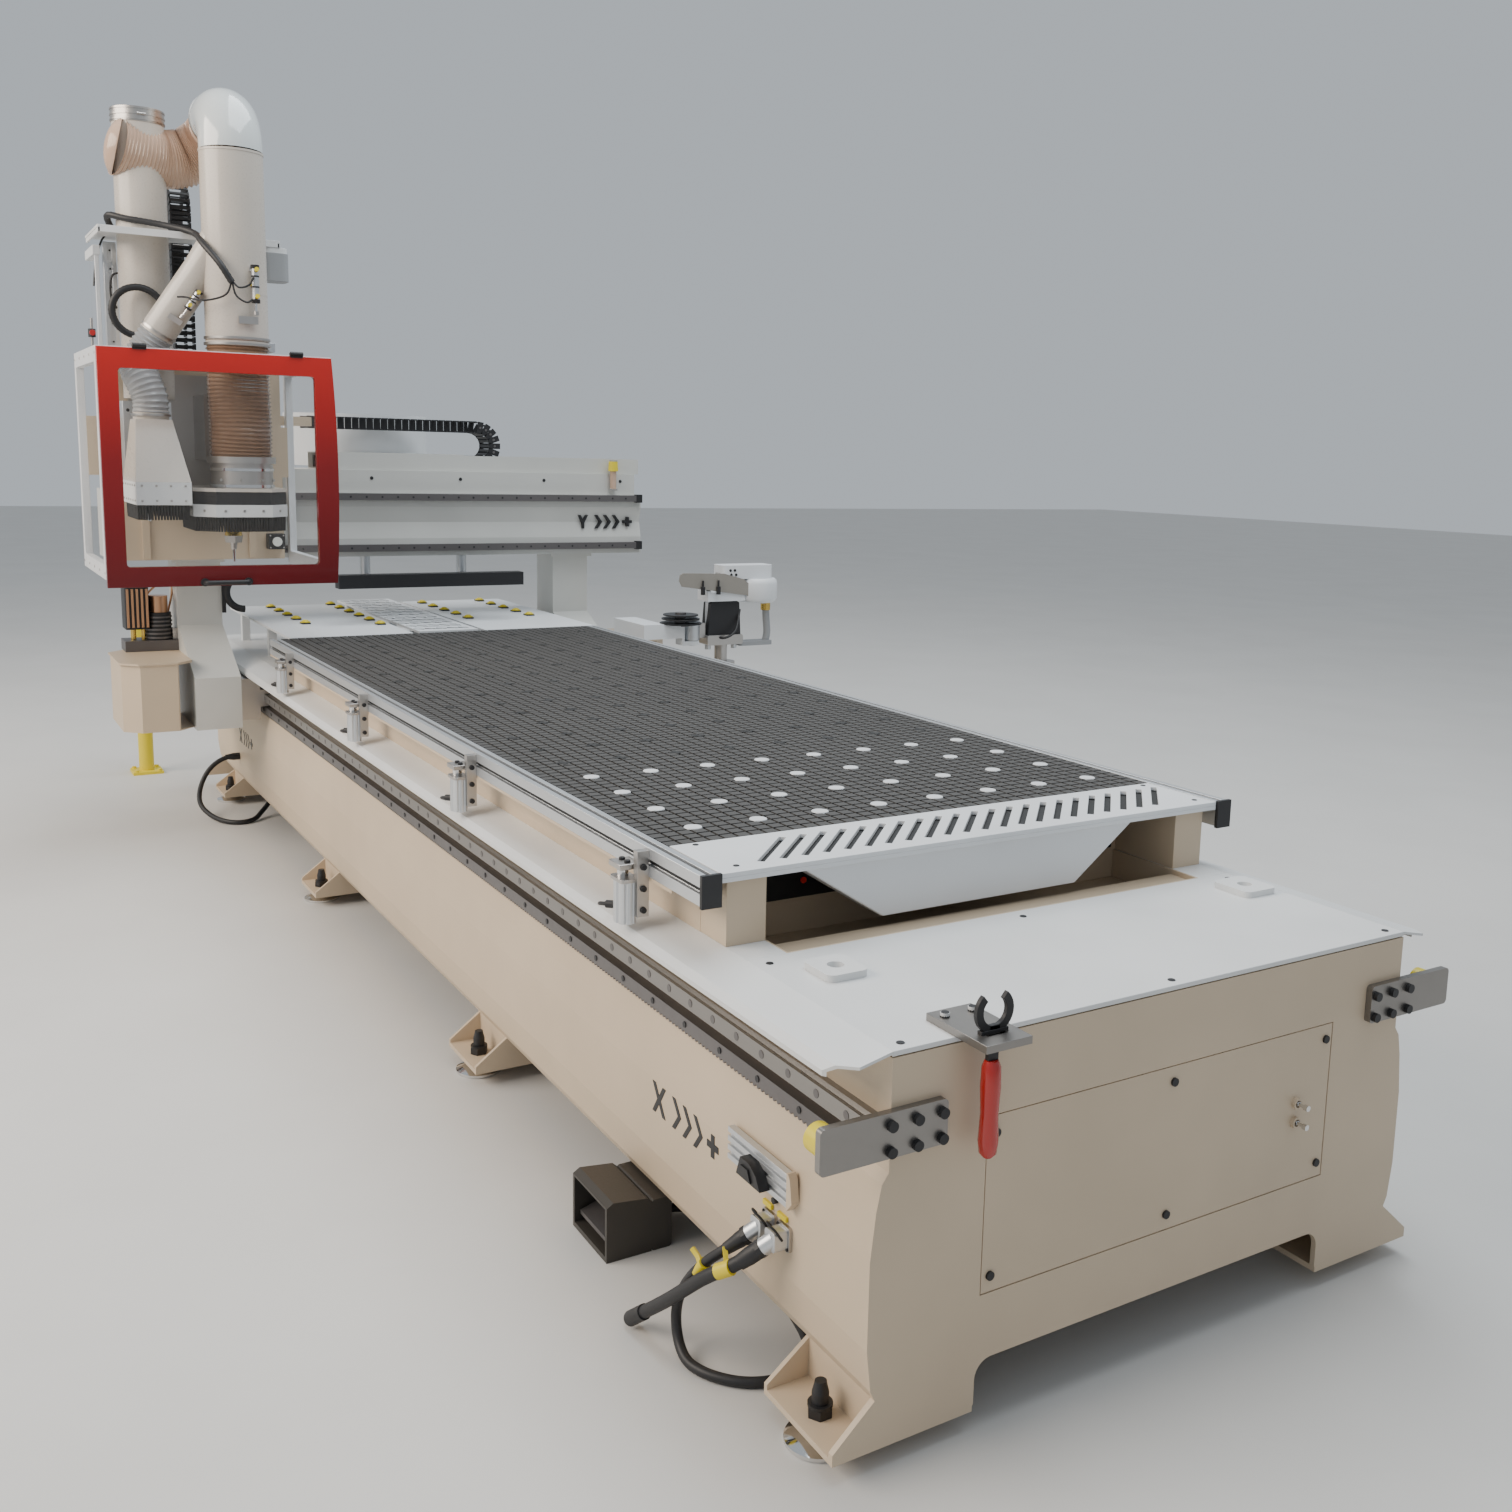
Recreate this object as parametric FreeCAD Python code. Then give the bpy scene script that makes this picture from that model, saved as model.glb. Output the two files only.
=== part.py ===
import FreeCAD, Part
import math
import os

os.makedirs("parts", exist_ok=True)
V = FreeCAD.Vector

# Nesting router with a travelling gantry. Sizes are in millimetres.
# X runs along the bed towards the open end, Y across it, Z up from the floor.
BED_LENGTH = 4880
END = BED_LENGTH / 2
END_PLATE = 10
WALL = 8
DECK_TOP = 629
DECK_THICK = 10
DECK_HALF = 546
TABLE_TOP = 760
TABLE_HALF = 600
TABLE_FRONT = 1785
TABLE_BACK = -1219
BEAM_FRONT = -1730
BEAM_BACK = -2010
BEAM_HALF = 1030
BEAM_BOTTOM = 1000
BEAM_TOP = 1245
DOOR_X = -1060
SPINDLE = (-1400, -672)
MAIN_DUCT = (-1235, -668)
LEFT_DUCT = (-1510, -905)
FOOT_X = (2344, 856, -632, -2120)
FOOT_BOLT_Y = 586
LOCATOR_X = (1750, 867, -16, -899)
RAIL_GAP = 0.5
SLIDE_GAP = 0.05

# The machine frame is moved by this much so that the origin is under the middle of the machine.
MOVE_X = 175
MOVE_Y = -159

nodes = {}


def box(x0, x1, y0, y1, z0, z1):
    return Part.makeBox(x1 - x0, y1 - y0, z1 - z0, V(x0, y0, z0))


def rod(start, along, radius, length):
    return Part.makeCylinder(radius, length, V(*start), V(*along))


def ring(start, along, radius, bore, length):
    return rod(start, along, radius, length).cut(rod(start, along, bore, length))


def prism(points, plane, low, high):
    place = {
        "x": lambda a, b: V(low, a, b),
        "y": lambda a, b: V(a, low, b),
        "z": lambda a, b: V(a, b, low),
    }[plane]
    along = {"x": V(1, 0, 0), "y": V(0, 1, 0), "z": V(0, 0, 1)}[plane]
    corners = [place(a, b) for a, b in points]
    face = Part.Face(Part.makePolygon(corners + corners[:1]))
    return face.extrude(along * (high - low))


def rounded(shape, along, radius):
    direction = V(*along)
    edges = []
    for edge in shape.Edges:
        run = edge.Vertexes[-1].Point - edge.Vertexes[0].Point
        if run.Length > 0 and abs(abs(run.normalize().dot(direction)) - 1) < 1e-6:
            edges.append(edge)
    return shape.makeFillet(radius, edges)


def octagon(x0, x1, y0, y1, z0, z1, corner):
    points = [(x0 + corner, y0), (x1 - corner, y0), (x1, y0 + corner), (x1, y1 - corner)]
    points += [(x1 - corner, y1), (x0 + corner, y1), (x0, y1 - corner), (x0, y0 + corner)]
    return prism(points, "z", z0, z1)


def fuse(shapes):
    return shapes[0].multiFuse(shapes[1:]).removeSplitter()


def group(shapes):
    return Part.makeCompound(shapes)


def mirrored(shape):
    return shape.mirror(V(0, 0, 0), V(0, 1, 0))


def both_sides(shapes):
    return group(shapes + [mirrored(shape) for shape in shapes])


def add(name, shape):
    nodes.setdefault(name, []).append(shape)


def route(points, name):
    """A wire of straight runs joined by tangent arcs; prints the arcs' radii."""
    spots = [V(*point) for point in points]
    edges = []
    radii = []
    start = spots[0]
    for before, corner, after in zip(spots, spots[1:], spots[2:]):
        into = corner - before
        out = after - corner
        half = into.getAngle(out) / 2
        reach = 0.45 * min(into.Length, out.Length)
        radius = reach / math.tan(half)
        into.normalize()
        out.normalize()
        inward = (out - into).normalize()
        first = corner - into * reach
        last = corner + out * reach
        middle = corner + inward * (radius / math.cos(half) - radius)
        edges.append(Part.makeLine(start, first))
        edges.append(Part.Arc(first, middle, last).toShape())
        radii.append(round(radius))
        start = last
    edges.append(Part.makeLine(start, spots[-1]))
    wire = Part.Wire(edges)
    print(name, "length", round(wire.Length), "arc radii", radii)
    return wire


def sweep(wire, points, radius):
    start = V(*points[0])
    along = V(*points[1]) - start
    profile = Part.Wire([Part.makeCircle(radius, start, along)])
    return wire.makePipeShell([profile], True, False)


def cord(name, points, diameter):
    add(name, sweep(route(points, name), points, diameter / 2))


def duct(name, points, outer, thick):
    wire = route(points, name)
    return sweep(wire, points, outer).cut(sweep(wire, points, outer - thick))


# Bed

SIDE_PROFILE = [(546, 619), (546, 452), (557, 437), (565, 398), (573, 325), (573, 190), (565, 127), (553, 105)]


def bed_sides():
    inner = [(y - WALL, z) for y, z in reversed(SIDE_PROFILE)]
    wall = prism(SIDE_PROFILE + inner, "x", -END + END_PLATE, END - END_PLATE)
    add("bed_sides", wall)
    add("bed_sides", mirrored(wall))


def end_plate(x0):
    leg = [(557, 110), (626, 50), (626, 42), (0, 42)]
    half = prism(SIDE_PROFILE[:-1] + leg + [(0, 619)], "x", x0, x0 + END_PLATE)
    plate = fuse([half, mirrored(half)])
    arch = rounded(box(x0 - 5, x0 + 15, -378, 378, -60, 112), (1, 0, 0), 30)
    return plate.cut(arch)


PANEL_HALF = 373
PANEL_Z = (218, 494)
PANEL_DEPTH = 4


def bed_ends():
    front = end_plate(END - END_PLATE)
    pocket = box(END - PANEL_DEPTH, END + 1, -PANEL_HALF - 2, PANEL_HALF + 2, PANEL_Z[0] - 2, PANEL_Z[1] + 2)
    opening = box(END - 20, END + 1, -PANEL_HALF + 22, PANEL_HALF - 22, PANEL_Z[0] + 22, PANEL_Z[1] - 22)
    add("bed_ends", front.cut(pocket).cut(opening))
    add("bed_ends", end_plate(-END))


def cross_members():
    bars = []
    for x in (-2000, -1300, -100, 1100, 2000):
        for z, half in ((579, 538), (172, 557)):
            outer = box(x - 40, x + 40, -half, half, z - 40, z + 40)
            bars.append(outer.cut(box(x - 34, x + 34, -half, half, z - 34, z + 34)))
    add("bed_frame", group(bars))


def deck():
    add("deck_plate", box(-END, END, -DECK_HALF, DECK_HALF, DECK_TOP - DECK_THICK, DECK_TOP))


def rail_covers():
    flange = [(546, 629), (620, 613), (631, 602), (631, 594), (627, 594), (627, 601), (618, 609), (546, 624.5)]
    cover = prism(flange, "x", -END, END)
    corner = prism([(END, 600), (END, 640), (END - 60, 640)], "z", 590, 640)
    cover = cover.cut(corner)
    add("rail_covers", cover)
    add("rail_covers", mirrored(cover))


FOOT_HALF = 94


def feet():
    brackets = []
    bolts = []
    pads = []
    for x in FOOT_X:
        front = x == FOOT_X[0]
        end = END if front else x + FOOT_HALF
        plate = box(x - FOOT_HALF, end, 380, 626, 32, 42)
        web_end = END - END_PLATE if front else end
        web = box(x - FOOT_HALF, web_end, 545, 553, 42, 105)
        parts = [plate, web]
        ends = (x - FOOT_HALF,) if front else (x - FOOT_HALF, x + FOOT_HALF - WALL)
        for gusset in ends:
            parts.append(prism([(553, 105), (626, 50), (626, 42), (553, 42)], "x", gusset, gusset + WALL))
            parts.append(prism([(545, 105), (420, 105), (380, 42), (545, 42)], "x", gusset, gusset + WALL))
        hole = rod((x, FOOT_BOLT_Y, 30), (0, 0, 1), 12.5, 14)
        brackets.append(fuse(parts).cut(hole))
        shank = rod((x, FOOT_BOLT_Y, 18), (0, 0, 1), 12, 78)
        nut = prism(hexagon(x, FOOT_BOLT_Y, 18), "z", 42, 57)
        cap = rod((x, FOOT_BOLT_Y, 57), (0, 0, 1), 16, 22)
        bolts.append(fuse([shank, nut, cap]))
        pads.append(levelling_pad(x, FOOT_BOLT_Y))
    add("bed_frame", both_sides(brackets))
    add("levelling_feet", both_sides(bolts))
    add("levelling_feet", both_sides(pads))


def hexagon(x, y, apothem):
    reach = apothem / math.cos(math.pi / 6)
    turns = [math.pi / 3 * k for k in range(6)]
    return [(x + reach * math.cos(t), y + reach * math.sin(t)) for t in turns]


def levelling_pad(x, y):
    outline = [V(0, 0, 0), V(53, 0, 0), V(53, 0, 8), V(18, 0, 22), V(18, 0, 31), V(0, 0, 31)]
    pad = Part.Face(Part.makePolygon(outline + outline[:1])).revolve(V(0, 0, 0), V(0, 0, 1), 360)
    pad.translate(V(x, y, 0))
    return pad.cut(rod((x, y, 18), (0, 0, 1), 12, 14))


def access_panel():
    panel = box(END - PANEL_DEPTH, END - 0.5, -PANEL_HALF, PANEL_HALF, *PANEL_Z)
    add("access_panel", panel)
    screws = []
    for y in (-358, 0, 358):
        for z in (PANEL_Z[0] + 26, PANEL_Z[1] - 26):
            screws.append(rod((END - 0.5, y, z), (1, 0, 0), 7, 4))
    add("bed_screws", group(screws))


TOGGLES = ((294, 367), (294, 333))


def toggles():
    bases = []
    for number, (y, z) in enumerate(TOGGLES, 1):
        bases.append(ring((END - 0.5, y, z), (1, 0, 0), 10, 6.5, 7))
        stem = rod((END + 4, y, z), (1, 0, 0), 3, 15)
        knob = rod((END + 19, y, z), (1, 0, 0), 5, 8)
        pivot = rod((END + 4, y - 4, z), (0, 1, 0), 4, 8)
        add("toggle_lever_%d" % number, fuse([stem, knob, pivot]))
    add("access_panel", group(bases))


def lifting_lugs():
    lugs = []
    for x0, x1, y0, y1 in ((2085, 2175, 446, 528), (2098, 2183, -485, -410)):
        lug = rounded(box(x0, x1, y0, y1, DECK_TOP, DECK_TOP + 12), (0, 0, 1), 14)
        lugs.append(lug.cut(rod(((x0 + x1) / 2, (y0 + y1) / 2, DECK_TOP), (0, 0, 1), 14, 20)))
    add("deck_fittings", group(lugs))


def linear_rails():
    half = [(546, 0), (557, 0), (562, 5), (566, 5), (569, 0.5), (573, 1.5)]
    lower = [(y, 499 + z) for y, z in half]
    upper = [(y, 529 - z) for y, z in reversed(half)]
    add("x_rails", both_sides([prism(lower + upper, "x", -2410, 2410)]))
    add("x_racks", both_sides([box(-2410, 2324, 546, 570, 455.5, 479.5)]))
    bolts = [rod((2240 - 125 * k, 570, 467.5), (0, 1, 0), 5.5, 1.5) for k in range(37)]
    add("bed_screws", both_sides(bolts))


def end_stops():
    plates = []
    screws = []
    bumpers = []
    for x0, outward in ((END, 1), (-END - 12, -1)):
        plates.append(rounded(box(x0, x0 + 12, 456, 668, 480, 547), (1, 0, 0), 8))
        face = x0 + 12 if outward > 0 else x0
        for y in (467, 510, 554):
            for z in (491, 529):
                screws.append(rod((face, y, z), (outward, 0, 0), 8, 8))
        back = x0 if outward > 0 else x0 + 12
        bumpers.append(rod((back, 643, 514), (-outward, 0, 0), 22, 36))
    add("stop_plates", both_sides(plates))
    add("bed_screws", both_sides(screws))
    add("stop_bumpers", both_sides(bumpers))


SOCKETS = ((2172, 256), (2216, 256))
SOCKET_EXIT = (-15, -20, -20)
SOCKET_REACH = 32


def side_fittings():
    rail = box(2050, 2240, -585, -573, 312, 366)
    for z in (324, 339, 354):
        rail = rail.cut(box(2050, 2240, -586, -579, z - 3, z + 3))
    add("side_fittings", rail)
    add("side_fittings", prism([(2110, 318), (2185, 318), (2172, 350), (2122, 350)], "y", -603, -585))
    mounts = []
    for x, z in SOCKETS:
        base = rounded(box(x - 19, x + 19, -579, -573, z - 20, z + 20), (0, 1, 0), 5)
        hood = rounded(box(x - 15, x + 15, -602, -579, z - 16, z + 16), (0, 1, 0), 5)
        mounts.append(fuse([base, hood, rod((x, -592, z), SOCKET_EXIT, 14, SOCKET_REACH)]))
    add("side_fittings", group(mounts))


HOOK_X = 2478


def spanner():
    plate = box(2371, 2510, -440, -360, DECK_TOP, DECK_TOP + 11)
    slot = box(HOOK_X - 15, HOOK_X + 5, -417, -383, 600, 660)
    bolts = [rod((2395, y, DECK_TOP + 11), (0, 0, 1), 7, 7) for y in (-425, -375)]
    add("deck_fittings", fuse([plate.cut(slot)] + bolts))
    jaw = ring((HOOK_X - 9, -400, 672), (1, 0, 0), 33, 21, 8)
    jaw = jaw.cut(box(HOOK_X - 20, HOOK_X + 20, -440, -360, 680, 720))
    neck = box(HOOK_X - 9, HOOK_X - 1, -409, -391, 600, 648)
    collar = box(HOOK_X - 9, HOOK_X - 1, -424, -376, DECK_TOP + 11, DECK_TOP + 17)
    add("hook_spanner", fuse([jaw, neck, collar]))
    grip = rounded(box(HOOK_X - 13, HOOK_X + 3, -415, -385, 455, 600), (1, 0, 0), 12)
    add("hook_spanner", grip)


# Table

SUPPORT_TOP = 709


def table():
    wall = box(TABLE_BACK, 1870, 535, 545.5, DECK_TOP, SUPPORT_TOP - 6)
    flange = box(TABLE_BACK, 1870, 488, TABLE_HALF, SUPPORT_TOP - 6, SUPPORT_TOP)
    ribs = [box(x, x + 10, -488, 488, DECK_TOP, SUPPORT_TOP) for x in (-1219, -500, 300, 1100, 1775)]
    add("table_support", both_sides([wall, flange]))
    add("table_support", group(ribs))
    add("table_top", grooved_table())
    half = [(567, 709), (600, 709), (600, 729), (592, 729), (592, 740), (600, 740), (600, 760)]
    half += [(588, 760), (588, 752), (579, 752), (579, 760), (567, 760)]
    add("table_rails", both_sides([prism(half, "x", TABLE_BACK, 1976)]))
    add("table_rails", both_sides([box(1976, 1982, 567, 600, 709, 760)]))


GROOVE_PITCH = 30


def grooved_table():
    board = box(TABLE_BACK, TABLE_FRONT, -567, 567, SUPPORT_TOP, TABLE_TOP)
    cutters = []
    for k in range(-18, 19):
        y = k * GROOVE_PITCH
        cutters.append(box(TABLE_BACK + 20, TABLE_FRONT - 20, y - 4, y + 4, TABLE_TOP - 5, TABLE_TOP + 1))
    return board.cut(group(cutters))


def apron():
    plate = fuse([box(TABLE_FRONT, 1977, -563, 563, 752, TABLE_TOP), box(1971, 1977, -563, 563, 744, 752)])
    slots = []
    for k in range(23):
        y = -475 + 43 * k
        slots.append(prism([(1929, y), (1921, y), (1805, y + 106), (1813, y + 106)], "z", 740, 770))
    plate = plate.cut(group(slots))
    add("apron", plate)
    floor = prism([(1965, 640), (1965, 636), (1795, 700), (1795, 704)], "y", -480, 480)
    cheeks = [box(1795, 1965, y, y + 5, DECK_TOP, 743) for y in (-485, 480)]
    back = box(1790, 1795, -485, 485, DECK_TOP, 743)
    posts = [box(1900, 1960, y, y + 20, DECK_TOP, 752) for y in (-530, 510)]
    add("apron", group([floor, back] + cheeks))
    add("apron", group(posts))


def locators():
    bodies = []
    plates = []
    for x in LOCATOR_X:
        bracket = box(x + 18, x + 34, -612, -600, 640, 756)
        body = rounded(box(x - 26, x + 26, -648, -612, 624, 706), (0, 0, 1), 10)
        body = fuse([body, bracket, box(x + 18, x + 34, -625, -612, 640, 706)])
        bore = rod((x - 8, -630, 628), (0, 0, 1), 10 + SLIDE_GAP, 90)
        bodies.append(body.cut(bore))
        stem = rod((x - 8, -630, 634), (0, 0, 1), 10, 86)
        top = box(x - 34, x + 14, -645, -606, 720, 730)
        plates.append(fuse([stem, top]))
    add("locator_bodies", group(bodies))
    add("locator_plates", group(plates))


def transfer_area():
    sheets = [box(-2300, -1221, -532, -104, 752, TABLE_TOP), box(-2300, -1221, 165, 600, 752, TABLE_TOP)]
    posts = []
    for x in (-2260, -1760, -1290):
        for y in (-500, -150, 190, 520):
            posts.append(box(x, x + 30, y, y + 30, DECK_TOP, 752))
    add("transfer_plates", group(sheets + posts))
    slotted = box(-2440, -1260, -70, 150, 752, TABLE_TOP)
    slots = [box(-2420 + 60 * k, -2400 + 60 * k, -50, 130, 740, 770) for k in range(19)]
    legs = [box(x, x + 30, y, y + 30, DECK_TOP, 752) for x in (-2330, -1300) for y in (-65, 115)]
    add("transfer_plates", group([slotted.cut(group(slots))] + legs))
    balls = []
    for y, x0, count in ((-388, -2230, 9), (-130, -2270, 11), (230, -2210, 10), (490, -2230, 9)):
        for k in range(count):
            balls.append(rod((x0 + 74 * k, y, TABLE_TOP), (0, 0, 1), 17, 14))
    add("ball_units", group(balls))


def sensor_post():
    base = box(-2860, -2740, -867, -747, 0, 12)
    post = rod((-2800, -807, 12), (0, 0, 1), 30, 560)
    head = box(-2835, -2765, -842, -772, 572, 650)
    bolts = [rod((x, y, 12), (0, 0, 1), 9, 8) for x in (-2845, -2755) for y in (-852, -762)]
    add("sensor_post", fuse([base, post, head] + bolts))


# Pedal

def pedal():
    base = box(1605, 1758, -665, -577, 0, 10)
    rear = rounded(box(1605, 1758, -577, -537, 0, 98), (1, 0, 0), 6)
    add("pedal_base", fuse([base, rear]))
    outline = [(-665, 104), (-652, 112), (-586, 104), (-577, 96), (-577, 10), (-665, 10)]
    shell = prism(outline, "x", 1605, 1758)
    hollow = prism([(-670, 98), (-651, 106), (-590, 98), (-583, 93), (-583, 9), (-670, 9)], "x", 1612, 1751)
    add("pedal_base", shell.cut(hollow))
    tread = prism([(-655, 26), (-655, 34), (-592, 52), (-592, 44)], "x", 1616, 1747)
    pivot = rod((1612.5, -596, 48), (1, 0, 0), 5, 138)
    add("pedal_treadle", fuse([tread, pivot]))


# Gantry

LEG_INNER = 653
LEG_OUTER = 806
COLUMN_FRONT = -1780


def gantry_legs():
    outline = [(-1460, 415), (-1460, 600), (COLUMN_FRONT, 753), (COLUMN_FRONT, 985)]
    outline += [(-1960, 985), (-1960, 753), (-2090, 600), (-2090, 415)]
    leg = prism(outline, "y", LEG_INNER, LEG_OUTER)
    flange = box(COLUMN_FRONT - 195, COLUMN_FRONT + 15, 640, 820, 985, BEAM_BOTTOM)
    leg = fuse([leg, flange])
    add("gantry_legs", leg)
    add("gantry_legs", mirrored(leg))
    spacer = box(-2090, -1470, 588, LEG_INNER, 440, 588)
    blocks = []
    for x in (-1530, -1690, -1870, -2030):
        block = box(x - 55, x + 55, 558, 588, 484, 545)
        channel = box(x - 60, x + 60, 546, 573 + RAIL_GAP, 499 - RAIL_GAP, 529 + RAIL_GAP)
        blocks.append(block.cut(channel))
    add("x_carriages", both_sides([spacer]))
    add("x_carriages", both_sides(blocks))


def drive_covers():
    outer = octagon(-1860, -1460, 806, 1035, 419, 655, 55)
    inner = octagon(-1856, -1464, 800, 1031, 423, 651, 52)
    shell = outer.cut(inner).cut(box(-1900, -1400, 700, 806, 400, 700))
    add("drive_covers", both_sides([shell]))
    add("drive_covers", both_sides([octagon(-1866, -1454, 806, 1041, 655, 661, 55)]))


def gantry_side_boxes():
    add("gantry_fittings", rounded(box(-1900, -1780, 806, 985, 661, 760), (1, 0, 0), 8))
    can = rod((-1830, -866, 661), (0, 0, 1), 44, 130)
    head = rod((-1830, -866, 791), (0, 0, 1), 34, 70)
    pipe = box(-1850, -1810, -822, -806, 700, 740)
    add("gantry_fittings", fuse([can, head, pipe]))
    arch = ring((-1780, -573, 870), (1, 0, 0), 74, 52, 14)
    arch = fuse([arch, box(-1780, -1766, -653, -640, 796, 944)])
    add("gantry_fittings", arch)


def beam():
    body = box(BEAM_BACK, BEAM_FRONT, -BEAM_HALF, BEAM_HALF, BEAM_BOTTOM, BEAM_TOP)
    groove = prism([(BEAM_FRONT + 1, 1065), (BEAM_FRONT + 1, 1195), (BEAM_FRONT - 16, 1131)], "y", -1100, 1100)
    inner = box(BEAM_BACK + 12, BEAM_FRONT - 28, -BEAM_HALF + 12, BEAM_HALF - 12, BEAM_BOTTOM + 12, BEAM_TOP - 12)
    body = body.cut(groove).cut(inner)
    for y in PUSHER_Y:
        body = body.cut(rod((PUSHER_ROD_X, y, BEAM_BOTTOM - 1), (0, 0, 1), 20, 20))
    add("gantry_beam", body)
    rails = []
    for z in (1020, 1216):
        rails.append(box(BEAM_FRONT, BEAM_FRONT + 24, -1000, 1000, z, z + 26))
    add("y_rails", group(rails))
    add("beam_cover", box(BEAM_BACK, BEAM_FRONT - 12, -1005, 1005, BEAM_TOP, 1330))
    post = box(-1965, -1935, 950, 980, 1330, 1352)
    tip = rod((-1950, 950, 1341), (0, -1, 0), 9, 26)
    add("gantry_fittings", fuse([post, tip]))


CHAIN_FRONT = -1770
CHAIN_BACK = -1890


def y_chain():
    trough = box(CHAIN_BACK - 12, CHAIN_FRONT + 12, -300, 1030, 1330, 1392)
    trough = trough.cut(box(CHAIN_BACK - 8, CHAIN_FRONT + 8, -301, 1031, 1334, 1393))
    lid = box(CHAIN_BACK - 12, CHAIN_FRONT + 12, -300, 270, 1392, 1396)
    add("beam_cover", fuse([trough, lid]))
    bend_y = 330
    tail = box(CHAIN_BACK, CHAIN_FRONT, -290, bend_y, 1336, 1384)
    turn = ring((CHAIN_BACK, bend_y, 1433), (1, 0, 0), 97, 49, CHAIN_FRONT - CHAIN_BACK)
    turn = turn.cut(box(CHAIN_BACK - 1, CHAIN_FRONT + 1, bend_y - 120, bend_y, 1300, 1560))
    upper = box(CHAIN_BACK, CHAIN_FRONT, -330, bend_y, 1482, 1530)
    upper = upper.cut(box(CHAIN_BACK + 6, CHAIN_FRONT + 1, -331, bend_y - 6, 1488, 1524))
    add("y_chain_bend", fuse([tail, turn, upper]))
    inner = box(CHAIN_BACK + 7, CHAIN_FRONT + 40, -450, -322, 1489, 1523)
    add("carriage_plate", inner)


def carousel():
    centre = (-2190, -40)
    outer = rod((centre[0], centre[1], 1340), (0, 0, 1), 280, 205)
    inner = rod((centre[0], centre[1], 1346), (0, 0, 1), 274, 193)
    mouth = box(-2600, -2330, -180, 100, 1346, 1539)
    bracket = box(-2150, BEAM_BACK, -140, 60, 1240, 1340)
    add("carousel_housing", fuse([outer.cut(inner).cut(mouth), bracket]))
    disc = rod((centre[0], centre[1], 1400), (0, 0, 1), 190, 14)
    hub = rod((centre[0], centre[1], 1350), (0, 0, 1), 40, 150)
    grips = []
    for k in range(8):
        turn = math.pi / 4 * k
        spot = (centre[0] + 205 * math.cos(turn), centre[1] + 205 * math.sin(turn), 1380)
        grips.append(rod(spot, (0, 0, 1), 26, 90))
    add("carousel_disc", fuse([disc, hub] + grips))


PUSHER_Y = (-120, 265)
PUSHER_ROD_X = -1790


def pusher():
    cylinders = []
    rods = []
    arms = [box(-1590, -1530, -285, 430, 895, 945)]
    for y in PUSHER_Y:
        body = rod((PUSHER_ROD_X, y, 918), (0, 0, 1), 20, 222)
        cylinders.append(body.cut(rod((PUSHER_ROD_X, y, 917), (0, 0, 1), 9 + SLIDE_GAP, 215)))
        rods.append(rod((PUSHER_ROD_X, y, 912), (0, 0, 1), 9, 190))
        arms.append(box(PUSHER_ROD_X - 25, -1590, y - 25, y + 25, 900, 912))
    add("pusher_cylinders", group(cylinders))
    add("pusher_bar", fuse(arms + rods))


# Carriage on the beam

PLATE_BACK = -1680
PLATE_FRONT = -1650


def carriage():
    blocks = []
    for y in (-930, -560):
        for z in (1020, 1216):
            block = box(-1722, PLATE_BACK, y - 60, y + 60, z - 15, z + 41)
            channel = box(-1730, -1706 + RAIL_GAP, y - 61, y + 61, z - RAIL_GAP, z + 26 + RAIL_GAP)
            blocks.append(block.cut(channel))
    add("carriage_plate", group(blocks))
    add("carriage_plate", box(PLATE_BACK, PLATE_FRONT, -1000, -450, 1003, 1680))
    arm = box(-1730, PLATE_BACK, -450 - 60, -450, 1489, 1523)
    add("carriage_plate", fuse([arm, box(-1770, -1730, -450 - 60, -450, 1489, 1523)]))


def tower():
    posts = []
    for y in (-1017, -540):
        posts.append(box(-1640, -1600, y, y + 40, 1680, 2078))
    feet = [box(PLATE_BACK, -1600, y, y + 40, 1660, 1680) for y in (-1017, -540)]
    add("tower", group(posts))
    add("tower", group([foot.cut(box(PLATE_BACK, PLATE_FRONT, -1000, -450, 1003, 1680)) for foot in feet]))
    top = box(-1690, -1340, -1060, -500, 2078, 2100)
    top = top.cut(rod((LEFT_DUCT[0], LEFT_DUCT[1], 2070), (0, 0, 1), 80, 40))
    top = top.cut(box(-1690, -1595, -830, -700, 2070, 2110))
    add("tower", top)
    add("tower", rounded(box(-1440, -1340, -560, -470, 1968, 2078), (0, 0, 1), 6))
    add("tower", z_chain())


def z_chain():
    turn = ring((-1720, -804, 2200), (0, 1, 0), 110, 62, 71)
    turn = turn.cut(box(-1900, -1500, -900, -700, 2050, 2200))
    back = box(-1830, -1782, -804, -733, 1708, 2200)
    front = box(-1658, -1610, -804, -733, 1708, 2200)
    return fuse([front, turn, back])


ENCLOSURE_LEFT = -1112
ENCLOSURE_RIGHT = -404


def enclosure():
    left = (ENCLOSURE_LEFT, ENCLOSURE_LEFT + 24)
    right = (ENCLOSURE_RIGHT - 24, ENCLOSURE_RIGHT)
    back = -1696
    front = DOOR_X - 24
    bars = []
    panes = []
    for y0, y1 in (left, right):
        bars += [box(back, front, y0, y1, 985, 1030), box(back, front, y0, y1, 1660, 1708)]
        bars += [box(back, back + 40, y0, y1, 1030, 1660), box(front - 40, front, y0, y1, 1030, 1660)]
        panes.append(box(back + 40, front - 40, y0 + 8, y0 + 13, 1030, 1660))
    bars.append(box(front - 30, front, left[1], right[0], 1684, 1708))
    bars.append(box(PLATE_FRONT - 46, PLATE_FRONT, left[1], right[0], 1684, 1708))
    add("enclosure_frame", group(bars))
    add("enclosure_frame", group(panes))
    ties = [box(PLATE_BACK, PLATE_FRONT, left[1], -1000, 1300, 1500), box(PLATE_BACK, PLATE_FRONT, -450, right[0], 1300, 1480)]
    add("carriage_plate", group(ties))


DOOR_Z = (962, 1704)
HINGE_X = DOOR_X + 5
HINGE_Z = 1712


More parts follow.
